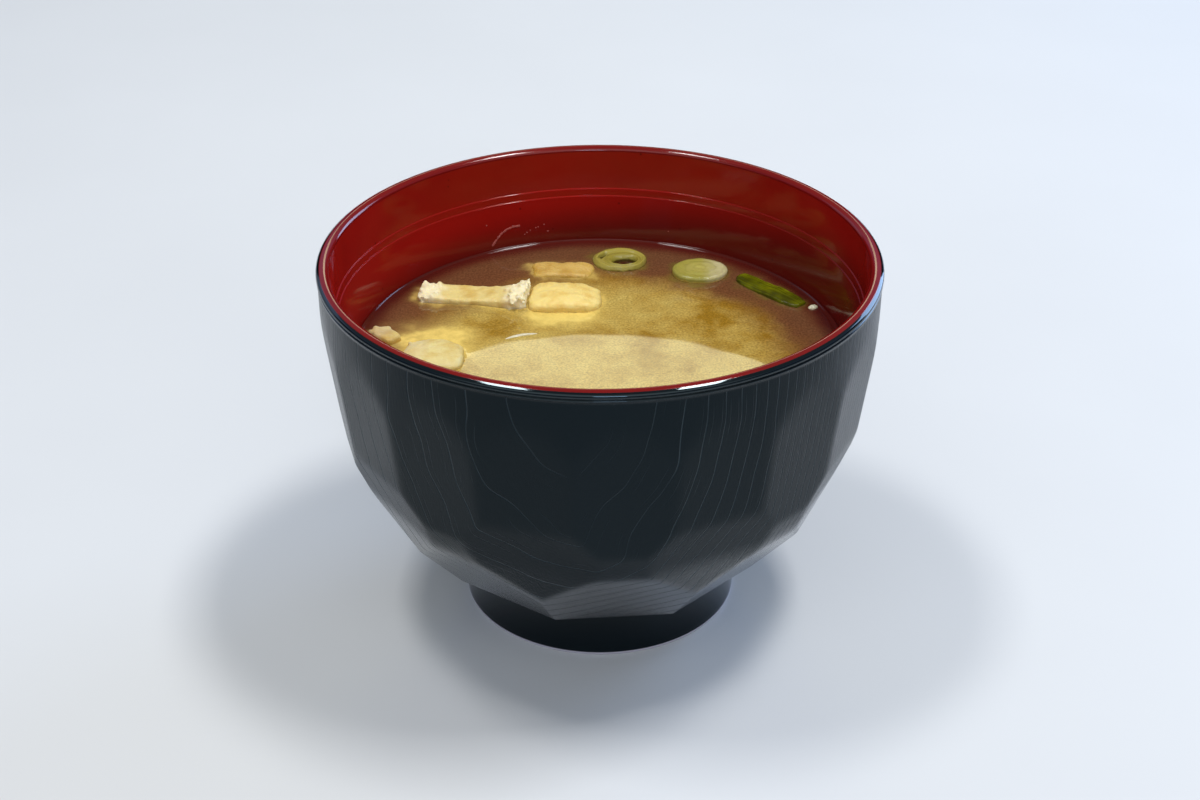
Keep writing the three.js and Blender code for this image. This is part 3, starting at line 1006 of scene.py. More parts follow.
    def lip_top(self) -> list[Place]:
        """Draw the section of the lip's red top, with a flat towards the lamps at either side.

        Returns:
            Its points, from the paint edge to the inside's upper edge.
        """
        top, facing = 90 - self.lip_fall, self.bevel_angle
        low = (self.rim_radius - self.lip_width + self.lip_round,
               self.height - self.lip_round + self.bevel_width * math.cos(math.radians(facing)))
        high = past_flat(low, facing, -self.bevel_width)
        outer = past_flat(self.outer_corner(), self.paint_edge_angle, self.lip_flat)
        return [
            *round_corner(outer, self.lip_edge, self.paint_edge_angle, top, 4),
            *round_corner(high, self.lip_round, top, facing, 6),
            *round_corner(low, self.lip_round, facing, 180, 8),
        ]

    def bevel(self, place: Place) -> list[Place]:
        """Draw a narrow bevel of the inner wall.

        Args:
            place: The bevel's upper edge.

        Returns:
            Its points from there down, with supporting points at both ends.
        """
        turn = math.radians(self.bevel_angle - 90)
        across, down = self.bevel_width * math.cos(turn), self.bevel_width * math.sin(turn)
        bend = [(place[0] - across * share, place[1] - down * share) for share in (0, 0.12, 0.88, 1)]
        return [(bend[0][0] + 0.005, bend[0][1] + 0.06)] + bend + [(bend[-1][0] - 0.01, bend[-1][1] - 0.06)]

    def inner_line(self) -> list[Place]:
        """Draw the red inside's section: finer down to the soup than below it.

        Returns:
            Its points, from its upper edge to the middle of the floor.
        """
        top, end, rows = self.lip_top()[-1], self.ledge_top, self.upper_rows
        upper = [(top[0] + (end[0] - top[0]) * i / rows, top[1] + (end[1] - top[1]) * i / rows)
                 for i in range(rows)]
        shown, (many, few) = self.shown_hollow, self.hollow_rows
        shares = [shown * i / many for i in range(1, many + 1)]
        shares += [shown + (1 - shown) * i / few for i in range(1, few + 1)]
        hollow = [self.hollow_point(share) for share in shares]
        return upper + self.bevel(end) + self.bevel(self.ledge_step) + hollow

    def shape_wall(self, shape: Shape) -> None:
        """Move the blank's outer wall in to the facets, with a small round along its bottom edge.

        Args:
            shape: The round blank.
        """
        low, high = self.body_bottom - 1e-3, self.ridge_height - self.ridge_size / 2
        for vert in shape.verts:
            radius = math.hypot(vert.co.x, vert.co.y)
            if abs(radius - self.wall_radius) < 1e-3 and low < vert.co.z < high:
                reach = self.facet_radius(math.degrees(math.atan2(vert.co.x, -vert.co.y)), vert.co.z)
                above = min((vert.co.z - self.body_bottom) / self.body_edge, 1)
                reach -= self.body_edge * (1 - math.sqrt(max(1 - (1 - above) ** 2, 0)))
                vert.co.x *= reach / radius
                vert.co.y *= reach / radius

    def build(self, *finishes: Finish) -> None:
        """Build the bowl and dress it.

        Args:
            finishes: The finish outside, the one inside, the one of the lip and the one of the band under it.
        """
        shape = bmesh.new()
        lines = [self.outer_line(), self.inner_line(), self.lip_top(), self.band_line()]
        spin_turn(shape, lines, self.turn_steps, self.doublings)
        self.shape_wall(shape)
        stand_for(new_piece("bowl_body", shape, *(finish.make() for finish in finishes)), "bowl")


@dataclass
class BrothTrace:
    """Traces of broth on the inner wall: a chain of flat beads along a curve, and a few drops beside it.

    The marks are given by how far to the right they lie and how high, on the wall at the back.
    """

    curve: tuple[Place, ...] = (
        (-23.2, 56.8), (-22.5, 57.7), (-21.5, 58.8), (-20.2, 59.6), (-18.8, 59.9), (-17.4, 59.9))
    drops: tuple[Place, ...] = (
        (-16.4, 57.9), (-15.9, 58.2), (-15.2, 58.6), (-14.0, 59.0), (-13.5, 59.1), (-12.2, 59.5), (-11.4, 58.0),
        (-24.5, 61.3), (14.9, 58.3))
    beads: int = 9
    bead_size: float = 0.3
    drop_size: float = 0.17
    flatness: float = 0.22
    wall_lean: float = 14
    wall_steps: int = 1000

    def wall_place(self, bowl: Bowl, x: float, height: float) -> Matrix:
        """Say how a flat bead is set on the wall at the back, thin side outwards.

        Args:
            bowl: The bowl whose wall it lies on.
            x: How far to the right it lies.
            height: How high it lies.

        Returns:
            The move.
        """
        y = math.sqrt(bowl.hollow_radius(height, self.wall_steps) ** 2 - x ** 2)
        facing = Matrix.Rotation(math.atan2(y, x), 4, "Z") @ Matrix.Rotation(math.radians(self.wall_lean), 4, "Y")
        return Matrix.Translation((x, y, height)) @ facing

    def build(self, bowl: Bowl, finish: Finish) -> None:
        """Build the traces and dress them.

        Args:
            bowl: The bowl whose wall they lie on.
            finish: The film's finish.
        """
        shape = bmesh.new()
        draw = random.Random(11)
        spots = [(x, height, self.drop_size) for x, height in self.drops]
        for (x, height), (next_x, next_height) in zip(self.curve, self.curve[1:]):
            for i in range(self.beads):
                share = (i + draw.uniform(-0.3, 0.3)) / self.beads
                spots.append((x + (next_x - x) * share, height + (next_height - height) * share,
                              self.bead_size * draw.uniform(0.5, 1)))
        for x, height, size in spots:
            stretch = Matrix.Diagonal((self.flatness, draw.uniform(0.8, 1.3), draw.uniform(0.7, 1.1), 1))
            bmesh.ops.create_icosphere(shape, subdivisions=2, radius=size,
                                       matrix=self.wall_place(bowl, x, height) @ stretch)
        stand_for(new_piece("broth_trace", shape, finish.make()), "bowl")


# ---------------------------------------------------------------- toppings


@dataclass(frozen=True)
class Footprint:
    """Where something lies in the soup: an oblong with round corners, or an oval if they are as large.

    The soup climbs round it, dips under it by its depth, and shows a share of its colour through the surface.
    """

    x: float
    y: float
    turn: float
    length: float
    width: float
    corner: float
    climb: float = 0.0
    climb_reach: float = 1.2
    depth: float = 0.0
    shown: float = 0.0
    shown_reach: float = 1.0

    def distance(self, point: Vector) -> float:
        """Say how far a point lies outside the footprint.

        Args:
            point: The point.

        Returns:
            The distance, negative inside the footprint.
        """
        angle = math.radians(-self.turn)
        dx, dy = point.x - self.x, point.y - self.y
        along = abs(dx * math.cos(angle) - dy * math.sin(angle)) - (self.length / 2 - self.corner)
        across = abs(dx * math.sin(angle) + dy * math.cos(angle)) - (self.width / 2 - self.corner)
        return math.hypot(max(along, 0), max(across, 0)) + min(max(along, across), 0) - self.corner


@dataclass
class Topping:
    """Something afloat in the soup: its name, where it lies, how it is turned, how large and how high it is."""

    node: str
    x: float
    y: float
    turn: float
    length: float
    width: float
    thickness: float
    rise: float

    suffix: ClassVar[str] = ""
    slot: ClassVar[Slot] = Slot.PALE_ONION
    fused_to: ClassVar[str] = ""

    def shape(self) -> Shape:
        """Shape the topping round the origin."""
        raise NotImplementedError

    def build(self, material: Material, level: float) -> None:
        """Build the topping, set it down in the soup and dress it.

        Args:
            material: Its finish.
            level: The soup's level.
        """
        shape = self.shape()
        place = Matrix.Translation((self.x, self.y, level + self.rise))
        bmesh.ops.transform(shape, matrix=place @ Matrix.Rotation(math.radians(self.turn), 4, "Z"),
                            verts=shape.verts)
        stand_for(new_piece(self.node + self.suffix, shape, material), self.fused_to or self.node)


@dataclass
class FriedTofu(Topping):
    """A cut piece of fried tofu: a block with a wrinkled skin, and a torn crumb at its open ends."""

    flare: float
    arch: float
    unevenness: float
    phase: float
    torn_left: float = 0.0
    torn_right: float = 0.0
    dents: tuple[tuple[float, float, float, float], ...] = ()
    crumb_reach: float = 3.6
    crumb_count: int = 90
    crumb_size: float = 0.62
    crumb_wander: float = 1.4
    squareness: float = 5
    crumb_per_mm: float = 0.55
    crumb_fade: Place = (2.2, 0.6)
    cuts: int = 15
    voxel: float = 0.25
    swell_waves: Spot = (4.1, 2.3, 3.7)
    wrinkles: tuple[Place, ...] = ((0.5, 0.2), (1.4, 0.1))
    crumbles: tuple[Place, ...] = ((1.2, 0.3), (2.6, 0.16))
    shrinkage: float = 0.1

    suffix: ClassVar[str] = "_piece"
    slot: ClassVar[Slot] = Slot.TOFU

    def footprint(self) -> Footprint:
        """Give the oblong that the piece cuts out of the soup's surface."""
        return Footprint(self.x, self.y, self.turn, self.length, self.width, min(self.width, self.length) * 0.35,
                         climb=0.12, depth=3, shown=0.5, shown_reach=0.7)

    def shape_block(self, shape: Shape) -> None:
        """Round a cube's corners, flare its end, arch its back and make its faces uneven.

        Args:
            shape: The subdivided cube.
        """
        slant_x, slant_y, straight_y = self.swell_waves
        for vert in shape.verts:
            powers = sum(abs(value) ** self.squareness for value in vert.co)
            corner = vert.co * powers ** (-1 / self.squareness)
            slanting = math.sin(corner.x * slant_x + corner.y * slant_y + self.phase)
            swell = self.unevenness * (slanting + math.sin(corner.y * straight_y - 2 * self.phase)) / 2
            growth = 1 + self.flare * ((1 + corner.x) / 2) ** 4
            vert.co.x = corner.x * (self.length / 2 + swell)
            vert.co.y = corner.y * (self.width / 2 * growth + swell)
            vert.co.z = corner.z * (self.thickness / 2 * growth + swell / 2) + self.arch * (0.5 - corner.x ** 2)
            for x, y, reach, depth in self.dents:
                squared = ((vert.co.x - x) ** 2 + (vert.co.y - y) ** 2) / reach ** 2
                pull = depth * math.exp(-squared) / max(vert.co.length, 1)
                vert.co -= vert.co * pull

    def add_crumbs(self, shape: Shape, draw: random.Random) -> None:
        """Stud the torn ends with small uneven lumps.

        Args:
            shape: The block.
            draw: Where the random draws come from.
        """
        for side, share in ((-1, self.torn_left), (1, self.torn_right)):
            growth = 1 + (self.flare if side > 0 else 0)
            half_width, half_thickness = self.width / 2 * growth, self.thickness / 2 * growth
            for _ in range(round(self.crumb_count * share)):
                size = self.crumb_size * draw.uniform(0.6, 1.2)
                along = side * (self.length / 2 - size * draw.uniform(0.35, 1) - self.crumb_reach * draw.random() ** 2)
                across = draw.uniform(-1, 1) * (half_width - size * 0.45)
                up = draw.uniform(-0.5, 1) * (half_thickness - size * 0.5) - self.arch * 0.5
                stretch = Matrix.Diagonal((draw.uniform(0.8, 1.3), draw.uniform(0.8, 1.2), draw.uniform(0.7, 1), 1))
                turn = Matrix.Rotation(draw.uniform(0, math.tau), 4, "Z")
                bmesh.ops.create_icosphere(shape, subdivisions=2, radius=size,
                                           matrix=Matrix.Translation((along, across, up)) @ turn @ stretch)

    def fused(self, shape: Shape) -> Shape:
        """Fuse the block and its crumbs into one skin of even quads.

        Args:
            shape: The overlapping surfaces, which are freed.

        Returns:
            The fused skin as a new bmesh.
        """
        mesh = bpy.data.meshes.new("skin")
        shape.to_mesh(mesh)
        shape.free()
        holder = bpy.data.objects.new("skin", mesh)
        bpy.context.scene.collection.objects.link(holder)
        fusing = holder.modifiers.new("fuse", "REMESH")
        fusing.mode = "VOXEL"
        fusing.voxel_size = self.voxel
        skin = bmesh.new()
        skin.from_object(holder, bpy.context.evaluated_depsgraph_get())
        bpy.data.objects.remove(holder)
        bpy.data.meshes.remove(mesh)
        return skin

    def crumb_share(self, point: Vector) -> float:
        """Say how much of the white crumb shows.

        Args:
            point: A point in the piece's own frame.

        Returns:
            The share, from 0 to 1.
        """
        wobble = self.crumb_wander * noise.noise(point * self.crumb_per_mm + Vector((self.phase, 0, 0)))
        edge = self.length / 2 - self.crumb_reach
        start, full = edge - self.crumb_fade[0], edge + self.crumb_fade[1]
        left = self.torn_left * smooth_step(start, full, -point.x + wobble)
        right = self.torn_right * smooth_step(start, full, point.x + wobble)
        return max(left, right)

    def roughen(self, shape: Shape) -> None:
        """Wrinkle the skin and crumble the torn ends by moving each vertex along its normal.

        Args:
            shape: The fused skin.
        """
        shape.normal_update()
        offset = Vector((self.phase * 7, 0, 0))
        moves = []
        for vert in shape.verts:
            crumb = self.crumb_share(vert.co)
            wrinkle = sum(noise.noise(vert.co * per_mm + offset) * size for per_mm, size in self.wrinkles)
            crumble = sum(noise.noise(vert.co * per_mm - offset) * size for per_mm, size in self.crumbles)
            moves.append(vert.normal * (wrinkle * (1 - crumb) + crumble * crumb - self.shrinkage))
        for vert, move in zip(shape.verts, moves):
            vert.co += move

    def shape(self) -> Shape:
        """Shape the piece round the origin.

        Returns:
            The piece, with its crumb attribute.
        """
        shape = bmesh.new()
        bmesh.ops.create_cube(shape, size=2)
        bmesh.ops.subdivide_edges(shape, edges=shape.edges, cuts=self.cuts, use_grid_fill=True)
        self.shape_block(shape)
        self.add_crumbs(shape, random.Random(self.node))
        shape = self.fused(shape)
        self.roughen(shape)
        for _ in range(2):
            bmesh.ops.smooth_vert(shape, verts=shape.verts, factor=0.5, use_axis_x=True, use_axis_y=True,
                                  use_axis_z=True)
        layer = shape.verts.layers.float.new("crumb")
        for vert in shape.verts:
            vert[layer] = self.crumb_share(vert.co)
        return shape


@dataclass
class OnionSlice(Topping):
    """A cross-cut of spring onion: an oval of thin layers, with or without a hollow middle."""

    hole: tuple[float, float, float, float] | None = None
    slit: tuple[float, float, float, float, float] | None = None
    edge: float = 0.6
    ring_width: float = 3.0
    turn_steps: int = 96
    doublings: int = 3
    top_rows: int = 26
    bottom_rows: int = 6
    ridges: float = 4
    ridge_height: float = 0.06
    dome: float = 0.2
    unevenness: float = 0.12
    slit_depth: float = 1.9
    slit_slope: Place = (0.2, -0.25)
    wobbles: tuple[Place, Place] = ((2, 0.02), (5, 0.012))

    suffix: ClassVar[str] = "_slice"

    def footprint(self) -> Footprint:
        """Give the oval that the slice cuts out of the soup's surface."""
        return Footprint(self.x, self.y, self.turn, self.length, self.width, self.width / 2 - 0.1, climb=0.15,
                         depth=2.4, shown=0.45, shown_reach=0.6)

    def hollow(self) -> Footprint:
        """Give the oval in which the soup stands inside a slice that has a hole.

        Returns:
            The oval.
        """
        x, y, length, width = self.hole
        middle = Matrix.Rotation(math.radians(self.turn), 2) @ Vector((x, y))
        return Footprint(self.x + middle.x, self.y + middle.y, self.turn, length, width, width / 2 - 0.05)

    def section(self) -> list[Place]:
        """Draw the slice's section, with rounded edges.

        Returns:
            The share of the way out and the height of each point.
        """
        half = self.thickness / 2
        soft = self.edge / (self.ring_width if self.hole else self.width / 2)
        bend = [(soft * (1 - math.sin(a)), self.edge * (1 - math.cos(a)))
                for a in (math.radians(15 * i) for i in range(1, 7))]
        start = soft if self.hole else 0
        span = 1 - soft - start
        top = [(start + span * i / self.top_rows, half) for i in range(self.top_rows + 1)]
        outer = [(1 - share, half - drop) for share, drop in bend]
        bottom = [(start + span * i / self.bottom_rows, -half) for i in range(self.bottom_rows, -1, -1)]
        line = top + outer + [(share, -height) for share, height in reversed(outer)] + bottom
        if self.hole:
            inner = [(share, half - drop) for share, drop in bend]
            line += [(share, -height) for share, height in inner] + list(reversed(inner))
        return line

    def outline(self, angle: float, length: float, width: float) -> Vector:
        """Give a point of an oval outline, a little uneven.

        Args:
            angle: The point's direction, in radians.
            length: The oval's length.
            width: The oval's width.

        Returns:
            The point.
        """
        (slow, large), (quick, small) = self.wobbles
        uneven = 1 + large * math.sin(slow * angle + self.x) + small * math.sin(quick * angle + self.y)
        return Vector((length / 2 * math.cos(angle) * uneven, width / 2 * math.sin(angle) * uneven, 0))

    def lift(self, spot: Vector, share: float) -> float:
        """Say how much a place on top lies above or below the flat blank.

        Args:
            spot: The place.
            share: The share of the way out.

        Returns:
            The height, from the dome, the layers' ridges, the unevenness and the slit.
        """
        height = self.dome * (1 - share ** 2) * (0 if self.hole else 1)
        height -= self.ridge_height * (1 + math.cos(math.tau * self.ridges * share))
        height += self.unevenness * noise.noise(spot * 0.5 + Vector((self.x, self.y, 0)))
        if self.slit:
            x, y, length, width, turn = self.slit
            gap = Footprint(x, y, turn, length, width, width / 2 - 0.02).distance(spot)
            height -= self.slit_depth * smooth_step(*self.slit_slope, gap)
        return height

    def shape(self) -> Shape:
        """Shape the slice round the origin: a round blank, spread to the real ovals.

        Returns:
            The slice, with its layer attribute.
        """
        shape = bmesh.new()
        start = 1 if self.hole else 0
        line = [(share + start, height) for share, height in self.section()]
        spin_turn(shape, [line], self.turn_steps, self.doublings, bool(self.hole), 1e-5)
        layer = shape.verts.layers.float.new("layer")
        for vert in shape.verts:
            flat = Vector((vert.co.x, vert.co.y, 0))
            share = flat.length - start
            angle = math.atan2(flat.y, flat.x)
            outer, inner = self.outline(angle, self.length, self.width), Vector((0, 0, 0))
            if self.hole:
                x, y, length, width = self.hole
                inner = Vector((x, y, 0)) + self.outline(angle, length, width)
            spot = inner.lerp(outer, share)
            vert[layer] = share
            height = vert.co.z + (self.lift(spot, share) if vert.co.z > 0 else 0)
            vert.co = Vector((spot.x, spot.y, height))
        return shape


@dataclass
class OnionLeaf(Topping):
    """A slanted cut of the green leaf: a thin, arched strip with rounded ends that dips into the soup."""

    arch: float
    taper: float
    ripple: float
    ripples: float
    steps: tuple[int, int] = (72, 22)
    side_room: Place = (0.15, 0.1)
    raggedness: float = 0.12
    rags_per_mm: float = 1.3
    veins: float = 5
    vein_height: float = 0.04
    unevenness: float = 0.15
    bumps_per_mm: float = 0.4

    suffix: ClassVar[str] = "_cut"
    slot: ClassVar[Slot] = Slot.GREEN_ONION

    def footprint(self) -> Footprint:
        """Give the oval that the leaf cuts out of the soup's surface."""
        return Footprint(self.x, self.y, self.turn, self.length - 1, self.width - 0.5, self.width / 2 - 0.3,
                         climb=0.1, depth=2.2, shown=0.4, shown_reach=0.6)

    def shape(self) -> Shape:
        """Shape the strip round the origin.

        Returns:
            The strip.
        """
        shape = bmesh.new()
        bmesh.ops.create_grid(shape, x_segments=self.steps[0], y_segments=self.steps[1], size=1)
        for vert in shape.verts:
            along, across = vert.co.x, vert.co.y
            x = along * (self.length / 2 - self.side_room[0])
            y = across * (self.width / 2 - self.side_room[1]) * math.sqrt(max(1 - self.taper * abs(along) ** 4, 0))
            side, end = 2 * y / self.width, 2 * x / self.length
            height = self.arch * (0.5 - side ** 2 - 0.5 * end ** 2) + self.ripple * math.sin(self.ripples * end)
            height += self.vein_height * math.cos(across * math.pi * self.veins)
            height += self.unevenness * noise.noise(Vector((x, y, 0)) * self.bumps_per_mm)
            ragged = self.raggedness * noise.noise(Vector((x * self.rags_per_mm, y * self.rags_per_mm, 4.0)))
            vert.co = Vector((x, y + ragged, height))
        bmesh.ops.solidify(shape, geom=shape.faces[:], thickness=self.thickness)
        bmesh.ops.translate(shape, vec=(0, 0, self.thickness / 2), verts=shape.verts)
        bmesh.ops.recalc_face_normals(shape, faces=shape.faces)
        return shape


@dataclass
class OnionScrap(Topping):
    """A small bit of onion afloat: a flattened, uneven lump."""

    bow: float = 0.0
    unevenness: float = 0.12

    fused_to: ClassVar[str] = "soup"

    def shape(self) -> Shape:
        """Shape the lump round the origin.

        Returns:
            The lump.
        """
        shape = bmesh.new()
        bmesh.ops.create_icosphere(shape, subdivisions=5, radius=1)
        for vert in shape.verts:
            x, y, z = vert.co
            uneven = 1 + self.unevenness * noise.noise(vert.co * 2.2 + Vector((self.x, 0, 0)))
            vert.co = Vector((x * self.length / 2, y * self.width / 2 * uneven + self.bow * (1 - x ** 2),
                              z * self.thickness / 2 * uneven))
        return shape


# ---------------------------------------------------------------- soup


@dataclass
class Soup:
    """The soup: it fills the hollow to its level and climbs a little at the wall and at every topping."""

    bowl: Bowl
    footprints: list[Footprint]
    sunk_tofu: list[Footprint]
    sunk_onion: list[Footprint]
    hollow: Footprint
    level: float = 55.4
    gap: float = 0.3
    climb: float = 0.5
    climb_reach: float = 0.28
    waves: Place = (0.012, 0.12)
    wander: tuple[Place, ...] = ((2.2, 0.22), (0.8, 0.8))
    turn_steps: int = 448
    doublings: int = 4
    wall_steps: int = 400
    side_rows: int = 24
    side_room: float = 0.5
    near_rows: int = 15
    near_spacing: float = 0.07
    ring_spacing: float = 0.54
    topping_reach: float = 6
    dip_slope: Place = (-0.5, -1.3)
    standing_slope: Place = (-0.15, -0.5)
    hole_shade_slope: Place = (0.6, -0.2)

    def contact_radius(self) -> float:
        """Give the radius at which the soup's edge meets the wall, a gap away from it."""
        return self.bowl.hollow_radius(self.level + self.climb, self.wall_steps) - self.gap

    def line(self) -> list[Place]:
        """Draw the soup's section.

        Returns:
            Its points, from the bottom of the axis to the middle of the surface.
        """
        edge = self.contact_radius()
        side = []
        for i in range(self.side_rows, -1, -1):
            radius, up = self.bowl.hollow_point(i / self.side_rows)
            if up + self.gap < self.level + self.climb - self.side_room and radius - self.gap < edge:
                side.append((max(radius - self.gap, 0), up + self.gap))
        near_wall = [edge - self.near_spacing * i for i in range(self.near_rows)]
        inner = near_wall[-1]
        rings = round(inner / self.ring_spacing)
        return side + [(radius, self.level)
                       for radius in near_wall + [inner * (1 - i / rings) for i in range(1, rings + 1)]]

    def surface_height(self, point: Vector, edge: float) -> float:
        """Give the surface's height above the level at a place.

        Args:
            point: The place.
            edge: The radius of the soup's edge.

        Returns:
            The height, in millimetres.
        """
        height = self.climb * math.exp((math.hypot(point.x, point.y) - edge) / self.climb_reach)
        height += self.waves[0] * noise.noise(Vector((point.x, point.y, 0)) * self.waves[1])
        standing = smooth_step(*self.standing_slope, self.hollow.distance(point))
        for footprint in self.footprints:
            distance = footprint.distance(point)
            if distance < self.topping_reach:
                height += footprint.climb * math.exp(-max(distance, 0) / footprint.climb_reach)
                height -= footprint.depth * smooth_step(*self.dip_slope, distance) * (1 - standing)
        return height

    def shown_share(self, point: Vector, sunk: list[Footprint]) -> float:
        """Say how much of the sunk things shows through the surface at a place.

        Args:
            point: The place.
            sunk: Where the things lie.

        Returns:
            The share, from 0 to 1.
        """
        flat = Vector((point.x, point.y, 0))
        wobble = sum(size * noise.noise(flat * per_mm) for size, per_mm in self.wander)
        return max(body.shown * math.exp(-max(body.distance(point) + wobble, 0) / body.shown_reach) for body in sunk)

    def build(self, finish: Finish) -> None:
        """Build the soup's body and dress it.

        Args:
            finish: The broth's finish.
        """
        shape = bmesh.new()
        spin_turn(shape, [self.line()], self.turn_steps, self.doublings)
        edge = self.contact_radius()
        tofu, onion, hollow = (shape.verts.layers.float.new(name) for name in ("sunk_tofu", "sunk_onion", "hollow"))
        for vert in shape.verts:
            if abs(vert.co.z - self.level) < 1e-3:
                vert[tofu] = self.shown_share(vert.co, self.sunk_tofu)
                vert[onion] = self.shown_share(vert.co, self.sunk_onion)
                # painted shade: the hollow share darkens the soup standing in the ring's hole
                vert[hollow] = smooth_step(*self.hole_shade_slope, self.hollow.distance(vert.co))
                vert.co.z += self.surface_height(vert.co, edge)
        stand_for(new_piece("soup_body", shape, finish.make()), "soup")


# ---------------------------------------------------------------- stage


def hang_up(holder: Piece, place: Spot, aim: Spot) -> None:
    """Put a light or a camera at its place and turn it to its aim.

    Args:
        holder: The light or the camera.
        place: Where it hangs, in millimetres.
        aim: Where it looks, in millimetres.
    """
    holder.location = Vector(place) * MM
    holder.rotation_euler = (Vector(aim) - Vector(place)).to_track_quat("-Z", "Y").to_euler()
    bpy.context.scene.collection.objects.link(holder)


@dataclass(frozen=True)
class Panel:
    """A rectangular soft light, in millimetres; radiance is how bright its face looks, 1 being paper white."""

    name: str
    place: Spot
    size: Place
    radiance: float
    colour: str = "#ffffff"
    aim: Spot = (0, 0, 55)

    def build(self) -> None:
        """Hang the light."""
        lamp = bpy.data.lights.new(self.name, "AREA")
        lamp.shape = "RECTANGLE"
        lamp.size, lamp.size_y = self.size[0] * MM, self.size[1] * MM
        lamp.energy = self.radiance * math.pi * lamp.size * lamp.size_y
        lamp.color = linear(self.colour)[:3]
        hang_up(bpy.data.objects.new(self.name, lamp), self.place, self.aim)


@dataclass(frozen=True)
class Stage:
    """The pale table, the soft lights and the camera."""

    floor_reach: float = 3000
    sky_stops: tuple[tuple[float, str], ...] = ((0.22, "#16181d"), (0.38, "#93a6d6"), (0.6, "#828588"))
    sky_strength: float = 0.8
    front_sky: str = "#f0f4f6"
    front_strength: float = 1.3
    front_limits: Place = (-0.25, -0.6)
    front_heights: Place = (0.25, 0.45)
    camera_place: Spot = (0, -360.321, 250.601)
    camera_aim: Spot = (0, 0, 43.045)
    lens: float = 61.75
    sensor: float = 36
    panels: tuple[Panel, ...] = (
        Panel("back_panel", (0, 1150, 588), (420, 205), 3.0, "#fffbca"),
        Panel("right_lamp", (350, 40, 1055), (290, 160), 40),
        Panel("left_lamp", (-330, 40, 1055), (240, 160), 31),
        Panel("front_window", (70, -1050, 620), (230, 130), 16, "#c4dcff"),
        Panel("right_window", (800, 700, 330), (500, 600), 7.5, "#b4d2ff"),
        Panel("left_window", (-800, 700, 330), (500, 600), 0.5, "#c6dcff"),
    )

    def build_floor(self) -> None:
        """Lay a large pale table under the bowl."""
        shape = bmesh.new()
        bmesh.ops.create_grid(shape, x_segments=2, y_segments=2, size=self.floor_reach)
        material = TableTop().make()
        new_piece("table_top", shape, material)

    def build_world(self) -> None:
        """Light everything softly: a dim sky, darker near the horizon, and a wide bright one in front."""
        world = bpy.data.worlds.new("studio")
        world.use_nodes = True
        tree = world.node_tree
        tree.nodes.clear()
        direction = add_node(tree, "TexCoord", out="Generated")
        forwards, upwards = (add_node(tree, "SeparateXYZ", (direction,), axis) for axis in "YZ")
        colour = add_node(tree, "ValToRGB", (upwards,), stops=dict(self.sky_stops))
        sky = add_node(tree, "Background", (colour, self.sky_strength))
        share = 1.0
        for value, limits in ((forwards, self.front_limits), (upwards, self.front_heights)):
            share = add_node(tree, "MapRange", (value, *limits, 0.0, share), interpolation_type="SMOOTHSTEP")
        front = add_node(tree, "Background", (self.front_sky, self.front_strength))
        add_node(tree, "OutputWorld", {"Surface": add_node(tree, "MixShader", (share, sky, front))})
        bpy.context.scene.world = world

    def build_camera(self) -> None:
        """Set the camera at the height of someone sitting at the table."""
        data = bpy.data.cameras.new("camera")
        data.lens, data.sensor_width = self.lens, self.sensor
        data.clip_start, data.clip_end = 0.01, 50
        camera = bpy.data.objects.new("camera", data)
        hang_up(camera, self.camera_place, self.camera_aim)
        bpy.context.scene.camera = camera

    def build(self) -> None:
        """Build the whole stage."""
        self.build_camera()
        self.build_floor()
        self.build_world()
        for panel in self.panels:
            panel.build()
        bpy.context.scene.view_settings.view_transform = "Standard"


# ---------------------------------------------------------------- the whole


STRIP = FriedTofu("tofu_strip", -26.1, 20.9, -6, 22.6, 6.6, 3.8, 0, 0.5, -0.9, 0.3, 0.4, torn_left=1, torn_right=1)
FOLD = FriedTofu("tofu_fold", -7.2, 19.7, 1, 15.3, 11.4, 5, -0.4, -0.1, 0.5, 0.3, 1.9, dents=((5.9, 5.2, 1.3, 1.1),))
BACK = FriedTofu("tofu_back", -8, 33.6, -2, 13.2, 6.8, 4, -1, 0.02, 0.2, 0.3, 3.1)
SIDE = FriedTofu("tofu_side", -43, 3.4, -50, 6.8, 4.2, 4, -0.5, 0.05, 0.2, 0.2, 4.4, torn_left=0.4)
FRONT = FriedTofu("tofu_front", -32.8, -5, -9, 12.2, 11.6, 5, -0.7, -0.05, 0.5, 0.4, 5.2, torn_left=0.3)
RING = OnionSlice("onion_ring", 4.2, 38.3, 4, 11.8, 10.4, 3, -0.4, hole=(1, -1.3, 5, 3.6),
                  slit=(-3.6, 1.3, 3, 0.9, 52), ridges=2, ridge_height=0.14)
DISC = OnionSlice("onion_disc", 21.2, 32.5, 6, 11.6, 10.2, 3, -0.2, ridges=3, ridge_height=0.04)
LEAF = OnionLeaf("onion_leaf", 35.6, 23.6, -47, 17.6, 4.9, 1.7, 0.05, 0.6, 0.7, 0.12, 5)
SCRAP = OnionScrap("onion_scrap", 43.9, 16.7, 25, 2.2, 1.6, 1.1, 0)
SHRED = OnionScrap("onion_shred", -15.8, 4.1, 20, 6.8, 0.8, 0.5, 0, bow=0.5)

# Tofu that lies wholly below the surface, in front of the fold and behind the front piece.
SUNK_TOFU = (
    Footprint(-8.3, 13.6, 4, 13.5, 6, 2.9, shown=0.92, shown_reach=1.7),
    Footprint(-33.5, 2.2, 6, 12.5, 7, 3.4, shown=1.0, shown_reach=2.2),
)

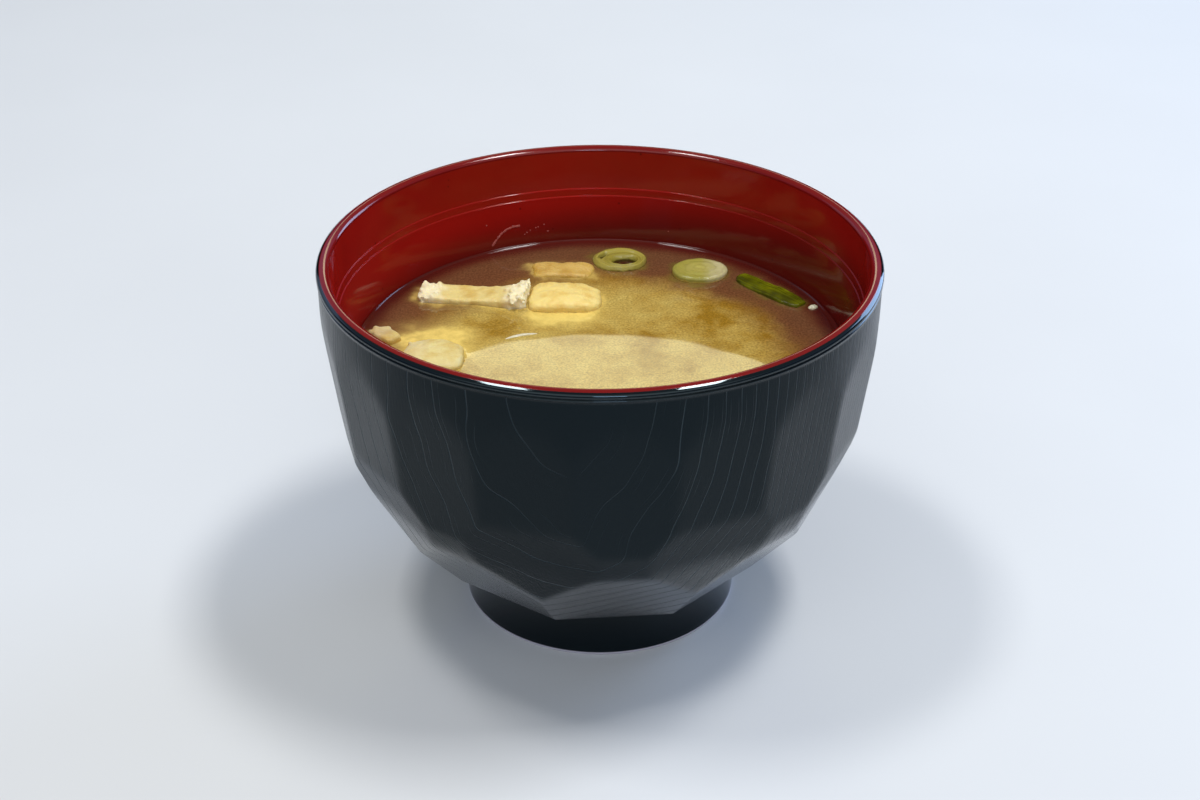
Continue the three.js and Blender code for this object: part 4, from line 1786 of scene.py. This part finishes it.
LIP = RedLacquer(name="red_lacquer_lip", colour="#78100e", deep_colour="#6a0c0a", roughness=0.1, mirror=1.44)
WHITE_ONION = OnionFlesh(name="spring_onion_white", inner_colour="#e0dcc0", outer_colour="#e0dcc0", layers=0.0,
                         film_share=0.2)
DRESSED = (
    (STRIP, FriedTofuSkin(name="fried_tofu_strip", skin_colour="#dcc67f", gold_colour="#ccac5c",
                          crumb_colour="#e9dcb2", broth_colour="#a8863c", film_share=0.5)),
    # the fold's broth film is a real wet coat, painted lighter to lift the shade on its low flank
    (FOLD, FriedTofuSkin(name="fried_tofu_fold", skin_colour="#e9d080", gold_colour="#dcb75c",
                         broth_colour="#e4c46a", film_height=1.5)),
    (BACK, FriedTofuSkin(name="fried_tofu_back", skin_colour="#c9a659", gold_colour="#b8903f", pit_depth=0.25)),
    (SIDE, FriedTofuSkin(name="fried_tofu_side", skin_colour="#ccb269", gold_colour="#be9a4b",
                         crumb_colour="#cdc2a0")),
    (FRONT, FriedTofuSkin(name="fried_tofu_front", skin_colour="#dac987", gold_colour="#cdb267",
                          crumb_colour="#ddd0a8", broth_colour="#d3b45c", film_height=1.3)),
    (RING, OnionFlesh(name="spring_onion_ring", inner_colour="#8a7e30", outer_colour="#9d9040", layers=2.0,
                      broth_colour="#4a3014", film_height=0.4)),
    (DISC, OnionFlesh(name="spring_onion_disc", pale_sides=(21, 26), layers=3.0)),
    (LEAF, LeafSkin(turn=LEAF.turn, broth_colour="#4f4a14", film_height=0.5)),
)


def main() -> None:
    """Build the bowl, the soup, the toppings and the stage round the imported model."""
    logging.basicConfig(level=logging.INFO, format="%(name)s: %(message)s")
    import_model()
    Stage().build()

    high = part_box("bowl")[1]
    bowl = Bowl(rim_radius=high.x / MM, height=high.z / MM)
    bowl.build(BlackLacquer(), RedLacquer(), LIP, GlossyBlack())

    tofu_prints = [piece.footprint() for piece in (STRIP, FOLD, BACK, SIDE, FRONT)]
    onion_prints = [piece.footprint() for piece in (RING, DISC, LEAF)]
    soup = Soup(bowl, tofu_prints + onion_prints, [*tofu_prints, *SUNK_TOFU], onion_prints, RING.hollow())
    soup.build(CloudyBroth())

    for topping, finish in DRESSED:
        topping.build(finish.make(), soup.level)
    white = WHITE_ONION.make()
    for scrap in (SCRAP, SHRED):
        scrap.build(white, soup.level)
    BrothTrace().build(bowl, ThinBroth())


if __name__ == "__main__":
    main()
